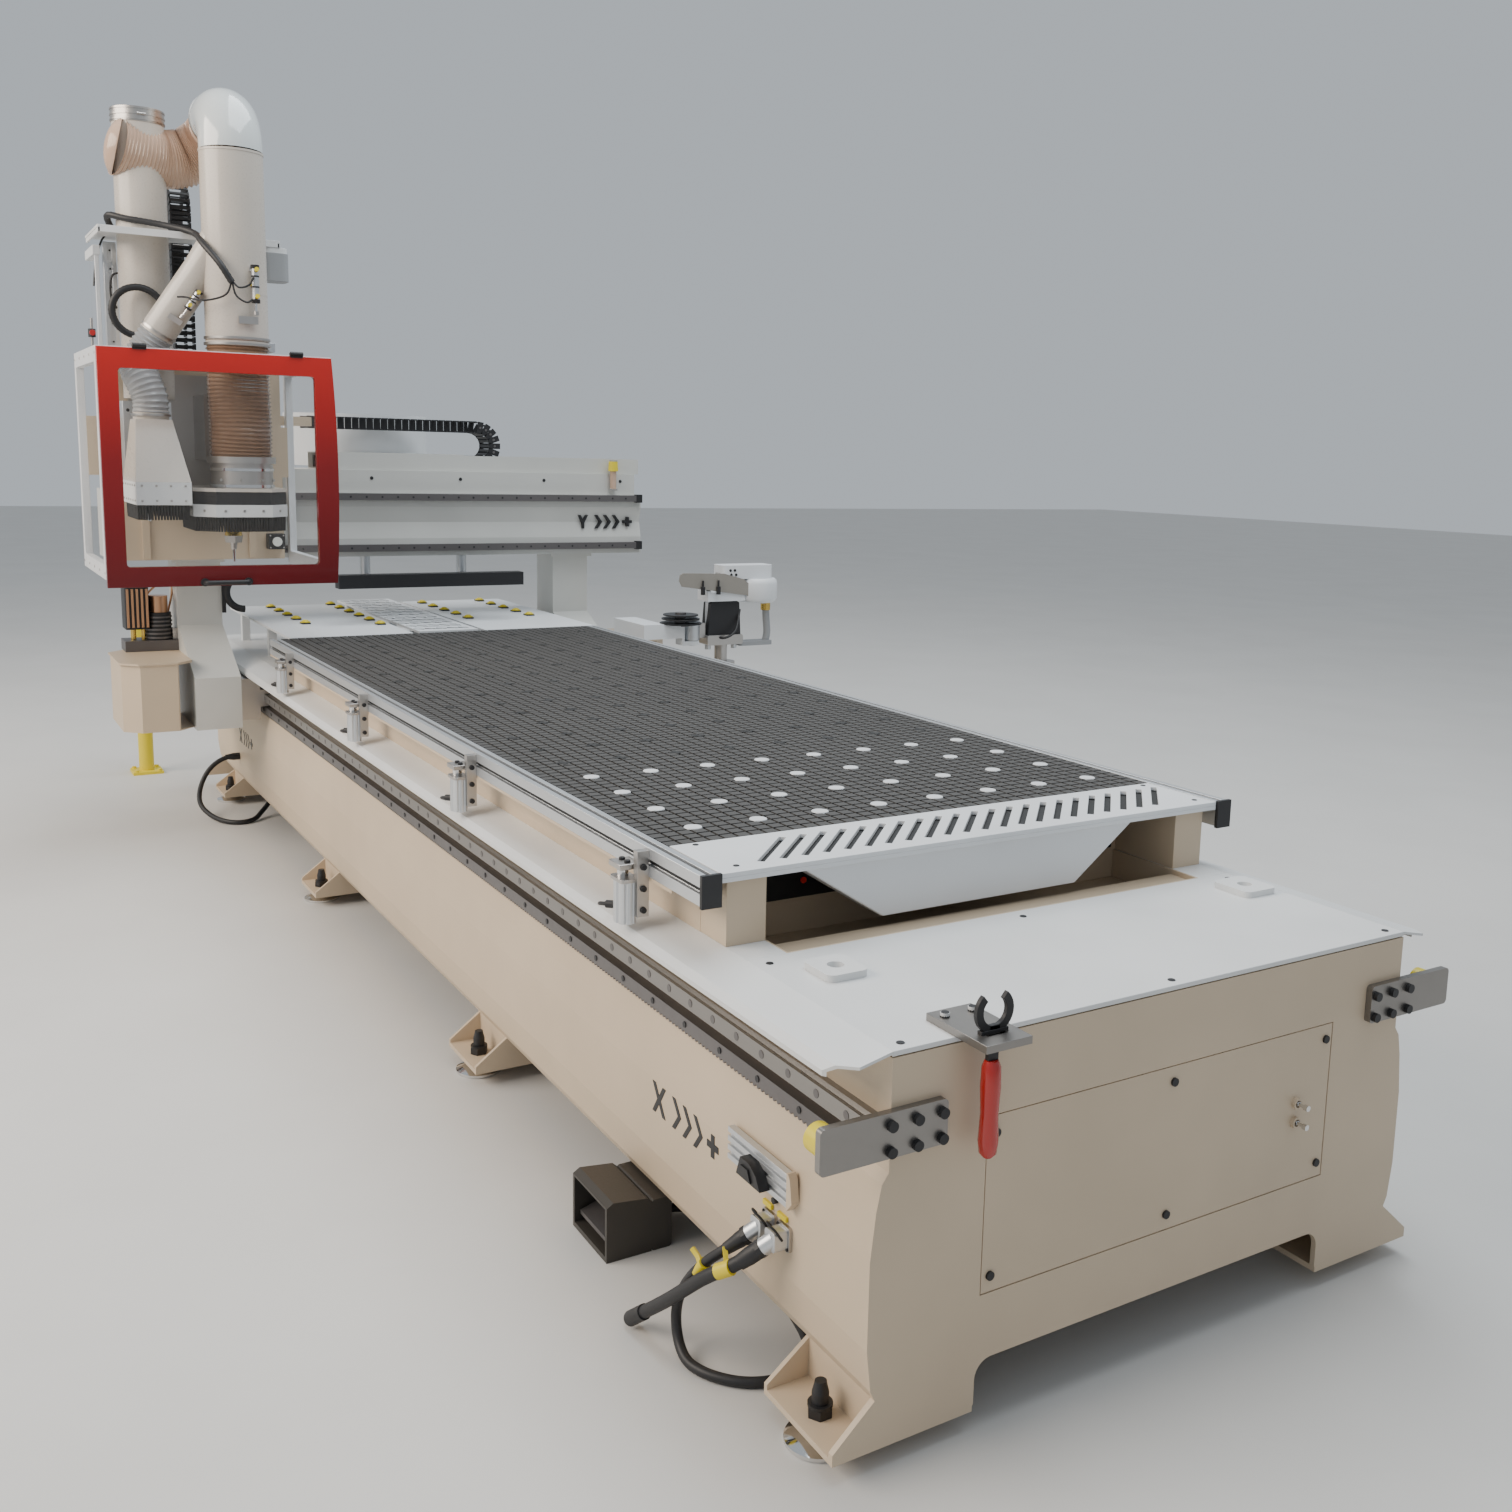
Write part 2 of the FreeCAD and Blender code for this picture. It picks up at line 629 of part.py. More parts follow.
def door():
    y0 = ENCLOSURE_LEFT + 1
    y1 = ENCLOSURE_RIGHT - 1
    bowed = y1 + 12
    middle = sum(DOOR_Z) / 2
    corners = [V(DOOR_X - 22, y1, DOOR_Z[0]), V(DOOR_X - 22, bowed, middle), V(DOOR_X - 22, y1 - 4, DOOR_Z[1])]
    edge = Part.Arc(*corners).toShape()
    others = [V(DOOR_X - 22, y0, DOOR_Z[1]), V(DOOR_X - 22, y0, DOOR_Z[0])]
    lines = [Part.makeLine(corners[2], others[0]), Part.makeLine(*others), Part.makeLine(others[1], corners[0])]
    slab = Part.Face(Part.Wire([edge] + lines)).extrude(V(22, 0, 0))
    window = rounded(box(DOOR_X - 40, DOOR_X + 10, y0 + 58, y1 - 58, DOOR_Z[0] + 64, DOOR_Z[1] - 62), (1, 0, 0), 14)
    knuckles = []
    for y in (-1010, -540):
        knuckles.append(rod((HINGE_X, y, HINGE_Z), (0, 1, 0), 7, 40))
        knuckles.append(box(DOOR_X - 12, HINGE_X, y, y + 40, DOOR_Z[1] - 4, HINGE_Z + 4))
    add("door", fuse([slab.cut(window)] + knuckles))
    pane = rounded(box(DOOR_X - 14, DOOR_X - 9, y0 + 58, y1 - 58, DOOR_Z[0] + 64, DOOR_Z[1] - 62), (1, 0, 0), 14)
    add("door", pane)
    grip = box(DOOR_X + 18, DOOR_X + 30, -828, -690, 964, 984)
    feet = [box(DOOR_X, DOOR_X + 18, y, y + 16, 964, 984) for y in (-828, -706)]
    add("door", fuse([grip] + feet))


def gas_strut():
    bracket = box(-1240, -1180, -400, -378, 1640, 1700)
    pin = rod((-1210, -404, 1670), (0, 1, 0), 6, 4)
    add("enclosure_frame", fuse([bracket.cut(rod((-1210, -410, 1670), (0, 1, 0), 6 + SLIDE_GAP, 40)), pin]))


# Ducts and hoses

FLAP_Z = 1815
ELBOW_Z = 2352
ELBOW_RADIUS = 118
ELBOW_TURN = math.radians(105)


def elbow_point(turn):
    back = ELBOW_RADIUS * (1 - math.cos(turn))
    return V(MAIN_DUCT[0] - back, MAIN_DUCT[1], ELBOW_Z + ELBOW_RADIUS * math.sin(turn))


def ducts():
    x, y = MAIN_DUCT
    pipe = ring((x, y, 1735), (0, 0, 1), 98, 96, ELBOW_Z - 1735)
    bands = [ring((x, y, z), (0, 0, 1), 105, 97, 8) for z in (1737, 1756)]
    pipe = fuse([pipe] + bands).cut(rod((x + 90, y, FLAP_Z), (1, 0, 0), 6 + SLIDE_GAP, 20))
    wire = Part.Wire([Part.Arc(elbow_point(0), elbow_point(ELBOW_TURN / 2), elbow_point(ELBOW_TURN)).toShape()])
    start = [(x, y, ELBOW_Z), (x, y, ELBOW_Z + 100)]
    turn = sweep(wire, start, 98).cut(sweep(wire, start, 96))
    add("ducts", fuse([pipe, turn]))
    left_x, left_y = LEFT_DUCT
    pipe = ring((left_x, left_y, 1560), (0, 0, 1), 80, 78, 890)
    collar = ring((left_x, left_y, 2450), (0, 0, 1), 84, 78, 45)
    add("ducts", fuse([pipe, collar]))
    add("tower", group([box(-1600, left_x - 80, -917, -893, 1720, 1750), box(-1600, x - 98, -552, -528, 1740, 1770)]))


def damper_cylinder(foot, along, radius, length, tip):
    """A pneumatic cylinder with its piston rod reaching back towards the damper's lever."""
    foot = V(*foot)
    along = V(*along).normalize()
    body = rod(tuple(foot), tuple(along), radius, length)
    return body.fuse(rod(tuple(foot - along * tip), tuple(along), radius / 3, tip))


def main_damper():
    x, y = MAIN_DUCT
    disc = rod((x, y - 2, FLAP_Z), (0, 1, 0), 92, 4)
    shaft = rod((x - 90, y, FLAP_Z), (1, 0, 0), 6, 202)
    lever = box(x + 104, x + 112, y - 14, y + 46, FLAP_Z - 12, FLAP_Z + 12)
    add("main_damper", fuse([disc, shaft, lever]))
    cylinder = damper_cylinder((x + 114, y + 40, 1870), (0, 0, 1), 11, 120, 38)
    bracket = box(x + 60, x + 104, y + 30, y + 50, 1970, 1985).cut(rod((x, y, 1900), (0, 0, 1), 98, 120))
    add("ducts", fuse([cylinder, bracket]))


BRANCH_START = V(MAIN_DUCT[0], -690, 2096)
BRANCH_END = V(-1330, -900, 1766)
BRANCH_BORE = 53


def branch():
    run = BRANCH_END - BRANCH_START
    pipe = ring(tuple(BRANCH_START), tuple(run), 55, BRANCH_BORE, run.Length)
    centre = BRANCH_START + run * 0.8
    along = V(run).normalize()
    across = V(1, 0, 0) - along * along.x
    across.normalize()
    side = across.cross(along)
    clear = rod((MAIN_DUCT[0], MAIN_DUCT[1], 1700), (0, 0, 1), 98, 700)
    bore = rod(tuple(centre), tuple(across), 5 + SLIDE_GAP, 70)
    add("ducts", pipe.cut(clear).cut(bore))
    disc = rod(tuple(centre - side * 1.5), tuple(side), 48, 3)
    shaft = rod(tuple(centre - across * 47), tuple(across), 5, 115)
    root = centre + across * 61
    corners = [root - along * 9 - side * 9, root + along * 9 - side * 9, root + along * 9 + side * 36]
    corners += [root - along * 9 + side * 36]
    lever = Part.Face(Part.makePolygon(corners + corners[:1])).extrude(across * 6)
    add("branch_damper", fuse([disc, shaft, lever]))
    foot = centre + across * 68 + side * 26 - along * 50
    cylinder = damper_cylinder(tuple(foot), tuple(-along), 10, 70, 36)
    bracket = rod(tuple(foot - along * 50 - across * 30 - side * 4), tuple(across), 6, 26)
    bracket = bracket.cut(rod(tuple(BRANCH_START), tuple(run), 55, run.Length))
    add("ducts", fuse([cylinder, bracket]))
    print("branch damper pivot", centre, "axis", across)


def crossover():
    points = [elbow_point(ELBOW_TURN), (-1449.2, -668, 2448.4), (-1497, -695, 2408), (-1528, -752, 2370)]
    points += [(-1526, -826, 2352), (-1508, -900, 2358), (-1494, -972, 2372)]
    shell = duct("crossover_hose", [tuple(point) for point in points], 95, 3)
    clear = rod((LEFT_DUCT[0], LEFT_DUCT[1], 2000), (0, 0, 1), 85, 600)
    add("crossover_hose", shell.cut(clear))


def spindle_hose():
    add("crossover_hose", ring((MAIN_DUCT[0], -668, 1380), (0, 0, 1), 95, 93.5, 355))


def boring_hose():
    points = [(-1330.3, -900.6, 1765), (-1346.5, -936.5, 1708.6), (-1318, -960, 1650), (-1280, -935, 1600)]
    points += [(-1280, -935, 1520)]
    add("boring_hose", duct("boring_hose", points, 55, 2))


# Z slide, spindle and hoods

def z_slide():
    plate = box(-1640, -1612, -960, -520, 1200, 1650)
    add("z_plate", plate)
    rails = [box(PLATE_FRONT, -1640 - RAIL_GAP, y, y + 24, 1010, 1670) for y in (-930, -574)]
    add("carriage_plate", group(rails))
    x, y = SPINDLE
    clamp = box(-1612, x, y - 80, y + 80, 1360, 1580).cut(rod((x, y, 1300), (0, 0, 1), 65, 400))
    body = ring((x, y, 1190), (0, 0, 1), 65, 20, 400)
    cap = rod((x, y, 1590), (0, 0, 1), 52, 30)
    add("z_plate", clamp)
    add("z_plate", fuse([body, cap]))
    shaft = rod((x, y, 1150), (0, 0, 1), 20 - SLIDE_GAP, 420)
    collet = rod((x, y, 1080), (0, 0, 1), 31, 70)
    bit = rod((x, y, 1013), (0, 0, 1), 6, 67)
    add("spindle_tool", fuse([shaft, collet, bit]))
    tube = ring((MAIN_DUCT[0], -668, 1200), (0, 0, 1), 92.5, 90.5, 500)
    collar = rod((MAIN_DUCT[0], -668, 1354), (0, 0, 1), 108, 22)
    stay = fuse([collar, box(x, MAIN_DUCT[0], y - 30, y + 30, 1354, 1376)])
    stay = stay.cut(rod((x, y, 1300), (0, 0, 1), 65, 400)).cut(rod((MAIN_DUCT[0], -668, 1300), (0, 0, 1), 92.5, 100))
    add("z_plate", fuse([tube, stay]))


HOOD = (-1500, -1120, -833, -538)


def dust_hood():
    top = octagon(*HOOD, 1262, 1273, 60)
    top = top.cut(rod((MAIN_DUCT[0], -668, 1200), (0, 0, 1), 93, 100))
    neck = ring((MAIN_DUCT[0], -668, 1273), (0, 0, 1), 99, 93, 78)
    hole = rod((SPINDLE[0], SPINDLE[1], 1200), (0, 0, 1), 66, 100)
    add("dust_hood", fuse([top, neck]).cut(hole))
    x0, x1, y0, y1 = HOOD

    def band(inset, z0, z1, thick):
        outer = octagon(x0 + inset, x1 - inset, y0 + inset, y1 - inset, z0, z1, 60)
        inner_inset = inset + thick
        return outer.cut(octagon(x0 + inner_inset, x1 - inner_inset, y0 + inner_inset, y1 - inner_inset, z0, z1, 57))

    add("dust_hood", band(2, 1220, 1262, 6))
    add("dust_hood", band(0, 1180, 1220, 6))
    add("dust_hood", band(4, 1132, 1180, 14))
    bore = (-1430, -1130, -1009, -843)
    x0, x1, y0, y1 = bore
    add("boring_head", band(6, 1170, 1218, 14))
    add("boring_head", band(0, 1218, 1291, 5))


def boring_unit():
    low = [V(-1430, -1009, 1291), V(-1130, -1009, 1291), V(-1130, -843, 1291), V(-1430, -843, 1291)]
    high = [V(-1340, -990, 1490), V(-1220, -990, 1490), V(-1220, -880, 1490), V(-1340, -880, 1490)]
    loft = Part.makeLoft([Part.makePolygon(low + low[:1]), Part.makePolygon(high + high[:1])], True, True)
    neck = rod((-1280, -935, 1480), (0, 0, 1), 54, 39)
    add("boring_head", fuse([loft, neck]))
    head = box(-1560, -1430, -1000, -850, 1225, 1550)
    slide = box(-1612 + RAIL_GAP, -1560, -960, -880, 1225, 1550)
    add("boring_head", head)
    add("boring_head", slide)
    drills = [rod((-1530 + 32 * k, -925, 1150), (0, 0, 1), 5, 75) for k in range(3)]
    add("boring_head", group(drills))


# Side arm unit

ARM_PIVOT = (-1245, 1030)


def side_arm():
    add("side_arm", box(-1500, -1215, 806, 900, 694, 752).fuse(box(-1275, -1215, 900, 985, 694, 752)))
    x, y = ARM_PIVOT
    pin = rod((x, y, 660), (0, 0, 1), 18, 120)
    yoke = [box(x - 30, x + 30, 985, y + 20, z, z + 16) for z in (664, 760)]
    add("side_arm", fuse([pin, box(x - 30, x + 30, 975, 985, 664, 776)] + yoke).cut(box(-1275, -1215, 900, 985, 694, 752)))
    hub = ring((x, y, 682), (0, 0, 1), 34, 18 + SLIDE_GAP, 76)
    housing = rounded(box(x - 45, x + 45, 1080, 1250, 640, 880), (0, 1, 0), 10)
    link = box(x - 18, x + 18, y + 30, 1080, 690, 750)
    bore = rod((x, 1165, 600), (0, 0, 1), 26 + SLIDE_GAP, 300)
    add("applicator_housing", fuse([hub, link, housing]).cut(bore))
    can = rod((x, 1375, 760), (0, 0, 1), 55, 230)
    add("applicator_housing", can)
    plate = box(x - 40, x + 40, 1250, 1400, 744, 760)
    add("applicator_housing", plate)
    quill = rod((x, 1165, 590), (0, 0, 1), 26, 360)
    foot = rod((x, 1165, 575), (0, 0, 1), 58, 15)
    add("applicator_quill", fuse([quill, foot]))


def cords():
    cord("cable_pedal", [(2157, -612, 236), (2139, -636, 212), (2109, -652, 182), (2082, -664, 148), (2057, -669, 109),
                         (2042, -670, 72), (2045, -671, 40), (2064, -674, 18), (2094, -676, 9), (2126, -668, 9),
                         (2154, -652, 9), (2182, -626, 9), (2200, -592, 9), (2206, -552, 9), (2188, -512, 9),
                         (2146, -482, 9), (2085, -466, 9), (2020, -456, 9), (1955, -451, 9), (1890, -442, 9),
                         (1825, -437, 9), (1765, -438, 12), (1712, -450, 20), (1682, -490, 30), (1682, -537, 30)], 17)
    cord("cable_lead", [(2201, -612, 236), (2178.5, -642, 206), (2140, -667, 178), (2097, -681, 138),
                        (2047, -692, 92), (1988, -700, 45)], 22)
    along = (-59, -8, -47)
    plug = fuse([rod((1988, -700, 45), along, 13, 52), rod((1972, -702.2, 32.3), along, 12.9, 10)])
    add("lead_plug", plug)
    cord("cable_far", [(-1983, -600, 205), (-1983, -632, 205), (-1980, -690, 165), (-1956, -728, 100),
                       (-1880, -745, 50), (-1800, -715, 18), (-1730, -680, 10), (-1690, -632, 9),
                       (-1715, -575, 9), (-1775, -540, 20), (-1810, -500, 50), (-1815, -480, 90), (-1815, -480, 117)], 18)
    gland = rod((-1983, -573, 205), (0, -1, 0), 14, 27)
    strap = box(-1845, -1785, -551, -440, 117, 125)
    add("side_fittings", group([gland, strap]))


for build in (bed_sides, bed_ends, cross_members, deck, rail_covers, feet, access_panel, toggles, lifting_lugs,
              linear_rails, end_stops, side_fittings, spanner, table, apron, locators, transfer_area, sensor_post,
              pedal, gantry_legs, drive_covers, gantry_side_boxes, beam, y_chain, carousel, pusher, carriage, tower,
              enclosure, door, gas_strut, ducts, main_damper, branch, crossover, spindle_hose, boring_hose,
              z_slide, dust_hood, boring_unit, side_arm, cords):
    build()

for name, shapes in nodes.items():
    shape = group(shapes)
    shape.translate(V(MOVE_X, MOVE_Y, 0))
    shape.exportStep("parts/%s.step" % name)
print(len(nodes), "nodes")
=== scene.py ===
import math

import bmesh
import bpy
from mathutils import Matrix, Vector
from mathutils.geometry import tessellate_polygon


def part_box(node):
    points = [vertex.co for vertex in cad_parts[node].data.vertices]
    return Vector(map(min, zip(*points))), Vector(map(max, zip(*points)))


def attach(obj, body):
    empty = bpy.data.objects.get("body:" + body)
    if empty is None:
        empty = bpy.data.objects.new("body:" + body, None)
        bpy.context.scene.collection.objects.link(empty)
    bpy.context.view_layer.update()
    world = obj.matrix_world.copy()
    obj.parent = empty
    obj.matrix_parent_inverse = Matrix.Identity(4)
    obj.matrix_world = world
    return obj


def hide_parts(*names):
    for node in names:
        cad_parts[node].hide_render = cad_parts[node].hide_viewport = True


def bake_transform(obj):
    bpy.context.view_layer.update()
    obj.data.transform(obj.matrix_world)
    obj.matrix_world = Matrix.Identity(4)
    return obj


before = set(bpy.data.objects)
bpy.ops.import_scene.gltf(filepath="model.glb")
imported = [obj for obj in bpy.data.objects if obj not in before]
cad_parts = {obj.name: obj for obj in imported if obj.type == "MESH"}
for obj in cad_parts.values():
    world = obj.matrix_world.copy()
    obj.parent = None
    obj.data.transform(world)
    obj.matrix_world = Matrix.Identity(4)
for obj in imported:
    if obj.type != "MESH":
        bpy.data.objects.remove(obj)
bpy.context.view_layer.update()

# Sizes below are millimetres in the machine's own frame: X along the bed, Y across it, Z up,
# with the middle of the bed at X = 0 and Y = 0. The deck plate says where that is in the CAD frame.
DECK_LOW, DECK_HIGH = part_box("deck_plate")
SHIFT = Vector(((DECK_LOW.x + DECK_HIGH.x) / 2, (DECK_LOW.y + DECK_HIGH.y) / 2, 0))
MM = 0.001
UP = Vector((0, 0, 1))

# Sizes that several pieces share, in millimetres
TABLE_BACK, TABLE_FRONT, TABLE_HALF, TABLE_TOP = -1219, 1785, 567, 760
DECK_TOP = 629
BEAM_FRONT = -1730
FEET_X = (2344, 856, -632, -2120)
LOCATORS_X = (1750, 867, -16, -899)
ENCLOSURE_LEFT, ENCLOSURE_RIGHT = -1112, -404
DOOR_X, DOOR_LOW, DOOR_HIGH = -1060, 962, 1704
MAIN_DUCT = Vector((-1235, -668, 0))
LEFT_DUCT = Vector((-1510, -905, 0))
BRANCH_START = Vector((-1235, -690, 2096))
BRANCH_END = Vector((-1330, -900, 1766))
ELBOW_Z, ELBOW_RADIUS, ELBOW_TURN = 2352, 118, math.radians(105)
HOOD = (-1500, -1120, -833, -538)
DRILL_HOOD = (-1430, -1130, -1009, -843)
SOCKET_EXIT = Vector((-15, -20, -20)).normalized()


def at(x, y, z):
    return Vector((x, y, z)) * MM + SHIFT


# Materials

def new_material(name):
    material = bpy.data.materials.new(name)
    material.use_nodes = True
    nodes = material.node_tree.nodes
    links = material.node_tree.links
    return material, nodes, links, nodes["Principled BSDF"]


def coordinates(nodes, links, scale):
    source = nodes.new("ShaderNodeTexCoord")
    mapping = nodes.new("ShaderNodeMapping")
    mapping.inputs["Scale"].default_value = scale
    links.new(source.outputs["Object"], mapping.inputs["Vector"])
    return mapping.outputs["Vector"]


def noise(nodes, links, vector, scale, detail=4.0, rough=0.6):
    texture = nodes.new("ShaderNodeTexNoise")
    texture.inputs["Scale"].default_value = scale
    texture.inputs["Detail"].default_value = detail
    texture.inputs["Roughness"].default_value = rough
    links.new(vector, texture.inputs["Vector"])
    return texture.outputs["Fac"]


def ramp(nodes, links, value, stops):
    made = nodes.new("ShaderNodeValToRGB")
    elements = made.color_ramp.elements
    for spot, colour in stops[2:]:
        elements.new(spot)
    for element, (spot, colour) in zip(elements, stops):
        element.position = spot
        element.color = (*colour, 1)
    links.new(value, made.inputs["Fac"])
    return made.outputs["Color"]


def span(nodes, links, value, low, high):
    made = nodes.new("ShaderNodeMapRange")
    made.inputs["To Min"].default_value = low
    made.inputs["To Max"].default_value = high
    links.new(value, made.inputs["Value"])
    return made.outputs["Result"]


def shade(colour, factor):
    return tuple(min(1.0, part * factor) for part in colour)


def bump(nodes, links, shader, height, strength, distance):
    made = nodes.new("ShaderNodeBump")
    made.inputs["Strength"].default_value = strength
    made.inputs["Distance"].default_value = distance
    links.new(height, made.inputs["Height"])
    links.new(made.outputs["Normal"], shader.inputs["Normal"])


def finish_material(name, colour, metallic, rough, spread=0.06, grain=60.0, stretch=(1, 1, 1),
                    relief=0.03, coat=0.0):
    """A painted, moulded or ground surface: mottled colour, uneven roughness and a fine relief."""
    material, nodes, links, shader = new_material(name)
    vector = coordinates(nodes, links, stretch)
    cloud = noise(nodes, links, vector, 2.3, 3.0)
    fine = noise(nodes, links, vector, grain, 5.0)
    tint = ramp(nodes, links, cloud, [(0.3, shade(colour, 1 - spread)), (0.7, shade(colour, 1 + spread))])
    links.new(tint, shader.inputs["Base Color"])
    links.new(span(nodes, links, fine, max(0.02, rough - 0.08), rough + 0.1), shader.inputs["Roughness"])
    shader.inputs["Metallic"].default_value = metallic
    shader.inputs["Coat Weight"].default_value = coat
    shader.inputs["Coat Roughness"].default_value = 0.12
    bump(nodes, links, shader, fine, relief * 4, 0.0004)
    return material


CREAM = finish_material("cream_paint", (0.58, 0.465, 0.335), 0.0, 0.42, grain=180.0)
OFF_WHITE = finish_material("off_white_paint", (0.58, 0.58, 0.55), 0.0, 0.38, grain=180.0)
PALE = finish_material("pale_paint", (0.70, 0.71, 0.71), 0.0, 0.38, grain=180.0)
WHITE = finish_material("white_paint", (0.72, 0.74, 0.76), 0.0, 0.35, grain=180.0)
STEEL = finish_material("ground_steel", (0.48, 0.46, 0.44), 1.0, 0.34, grain=50.0, stretch=(0.05, 1, 1))
ROLLED_STEEL = finish_material("rolled_steel", (0.27, 0.255, 0.24), 0.9, 0.36, grain=50.0,
                               stretch=(0.05, 1, 1))
DARK_STEEL = finish_material("dark_steel", (0.16, 0.15, 0.15), 0.8, 0.42)
CHROME = finish_material("chrome", (0.72, 0.72, 0.72), 1.0, 0.10, relief=0.0)
ALUMINIUM = finish_material("anodised_aluminium", (0.62, 0.64, 0.66), 0.85, 0.36, grain=70.0,
                            stretch=(0.05, 1, 1))
BLACK_METAL = finish_material("black_metal", (0.02, 0.02, 0.022), 0.2, 0.45)
BLACK_PLASTIC = finish_material("black_plastic", (0.016, 0.016, 0.018), 0.0, 0.5, grain=300.0)
RUBBER = finish_material("black_rubber", (0.012, 0.012, 0.012), 0.0, 0.62, grain=300.0)
YELLOW = finish_material("yellow_plastic", (0.72, 0.58, 0.02), 0.0, 0.4)
RED_GLOSS = finish_material("red_gloss", (0.42, 0.012, 0.008), 0.0, 0.22, coat=0.5)
TABLE_BOARD = finish_material("table_board", (0.050, 0.048, 0.046), 0.0, 0.6, grain=400.0)
GREY_PLASTIC = finish_material("grey_plastic", (0.30, 0.31, 0.32), 0.0, 0.45)


def red_door_material_with_painted_shade():
    """Gloss red with painted shade and light: darker towards the bottom of the door and brighter towards
    the top, standing in for how the light falls on it.
    """
    material, nodes, links, shader = new_material("red_door_with_painted_shade")
    source = nodes.new("ShaderNodeTexCoord")
    parts = nodes.new("ShaderNodeSeparateXYZ")
    links.new(source.outputs["Object"], parts.inputs["Vector"])
    height = nodes.new("ShaderNodeMapRange")
    height.inputs["From Min"].default_value = (DOOR_LOW - 2) * MM
    height.inputs["From Max"].default_value = (DOOR_HIGH + 16) * MM
    links.new(parts.outputs["Z"], height.inputs["Value"])
    cloud = noise(nodes, links, source.outputs["Object"], 5.0)
    mix = nodes.new("ShaderNodeMath")
    mix.operation = "MULTIPLY_ADD"
    mix.inputs[1].default_value = 0.08
    links.new(cloud, mix.inputs[0])
    links.new(height.outputs["Result"], mix.inputs[2])
    # Painted shade and light: the ramp runs from dark red at the bottom of the door to bright red at the
    # top. The noise only adds random tone.
    tint = ramp(nodes, links, mix.outputs["Value"],
                [(0.05, (0.11, 0.001, 0.003)), (0.55, (0.22, 0.003, 0.004)), (1.0, (0.52, 0.012, 0.006))])
    links.new(tint, shader.inputs["Base Color"])
    shader.inputs["Roughness"].default_value = 0.25
    shader.inputs["Coat Weight"].default_value = 0.15
    return material


RED_DOOR_WITH_PAINTED_SHADE = red_door_material_with_painted_shade()


def glass_material(name, colour, alpha, rough):
    material, nodes, links, shader = new_material(name)
    vector = coordinates(nodes, links, (1, 1, 1))
    cloud = noise(nodes, links, vector, 3.0)
    tint = ramp(nodes, links, cloud, [(0.35, shade(colour, 0.94)), (0.65, shade(colour, 1.05))])
    links.new(tint, shader.inputs["Base Color"])
    shader.inputs["Roughness"].default_value = rough
    shader.inputs["Alpha"].default_value = alpha
    shader.inputs["Specular IOR Level"].default_value = 0.6
    return material


DUCT_PAINT = finish_material("duct_paint", (0.56, 0.51, 0.45), 0.0, 0.28, grain=160.0, coat=0.3)
ELBOW_PLASTIC = finish_material("elbow_plastic", (0.66, 0.70, 0.70), 0.0, 0.12, grain=120.0,
                                relief=0.01, coat=0.8)
TAUPE = finish_material("taupe_paint", (0.27, 0.25, 0.22), 0.0, 0.42)
PEDAL_PAINT = finish_material("pedal_paint", (0.045, 0.040, 0.034), 0.1, 0.42, grain=200.0)
BRASS = finish_material("brass", (0.72, 0.50, 0.13), 1.0, 0.25)
COPPER = finish_material("copper", (0.60, 0.34, 0.20), 1.0, 0.3)
LAMP = finish_material("lamp_lens", (0.85, 0.85, 0.8), 0.0, 0.1, coat=0.5)
LAMP_RED = finish_material("red_lens", (0.9, 0.03, 0.02), 0.0, 0.1, coat=0.5)
PANE = glass_material("clear_pane", (0.42, 0.40, 0.38), 0.035, 0.04)
BRONZE_HOSE = glass_material("bronze_hose", (0.25, 0.15, 0.095), 0.90, 0.2)
PALE_HOSE = glass_material("pale_bronze_hose", (0.60, 0.42, 0.31), 0.88, 0.16)
CLEAR_HOSE = glass_material("clear_hose", (0.42, 0.43, 0.44), 0.72, 0.2)

# The CAD nodes that stay visible, by material
NODE_MATERIALS = (
    (CREAM, "bed_sides bed_ends bed_frame access_panel table_support drive_covers carriage_plate"),
    (OFF_WHITE, "gantry_legs gantry_beam beam_cover"),
    (PALE, "rail_covers deck_fittings"),
    (WHITE, "transfer_plates carousel_housing side_arm"),
    (BLACK_METAL, "bed_screws pusher_bar"),
    (BLACK_PLASTIC, "lead_plug"),
    (ROLLED_STEEL, "x_rails stop_plates"),
    (DARK_STEEL, "x_racks pedal_treadle y_rails"),
    (STEEL, "x_carriages carousel_disc applicator_quill main_damper branch_damper z_plate"),
    (CHROME, "toggle_lever_1 toggle_lever_2"),
    (ALUMINIUM, "pusher_cylinders"),
    (YELLOW, "stop_bumpers sensor_post"),
    (PEDAL_PAINT, "pedal_base"),
)
for material, names in NODE_MATERIALS:
    for name in names.split():
        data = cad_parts[name].data
        data.materials.clear()
        data.materials.append(material)


# Camera and light

CAMERA_AT = (3976.1, -1650.2, 1427.6)
CAMERA_RIGHT = Vector((0.527900, 0.848932, 0.025214))
CAMERA_UP = Vector((-0.144890, 0.060767, 0.987580))
LENS = 34.777
SHIFT_X = -0.0391
SHIFT_Y = -0.0469


def camera():
    data = bpy.data.cameras.new("camera")
    data.sensor_width = 36
    data.lens = LENS
    data.shift_x = SHIFT_X
    data.shift_y = SHIFT_Y
    data.clip_end = 60
    eye = bpy.data.objects.new("camera", data)
    back = CAMERA_RIGHT.cross(CAMERA_UP).normalized()
    turn = Matrix((CAMERA_RIGHT, CAMERA_UP, back)).transposed().to_4x4()
    eye.matrix_world = Matrix.Translation(at(*CAMERA_AT)) @ turn
    bpy.context.scene.collection.objects.link(eye)
    bpy.context.scene.camera = eye


def area_light(name, spot, target, size, power, colour):
    data = bpy.data.lights.new(name, "AREA")
    data.shape = "RECTANGLE"
    data.size, data.size_y = size
    data.energy = power
    data.color = colour
    lamp = bpy.data.objects.new(name, data)
    lamp.location = spot
    lamp.rotation_euler = (Vector(target) - Vector(spot)).to_track_quat("-Z", "Y").to_euler()
    bpy.context.scene.collection.objects.link(lamp)


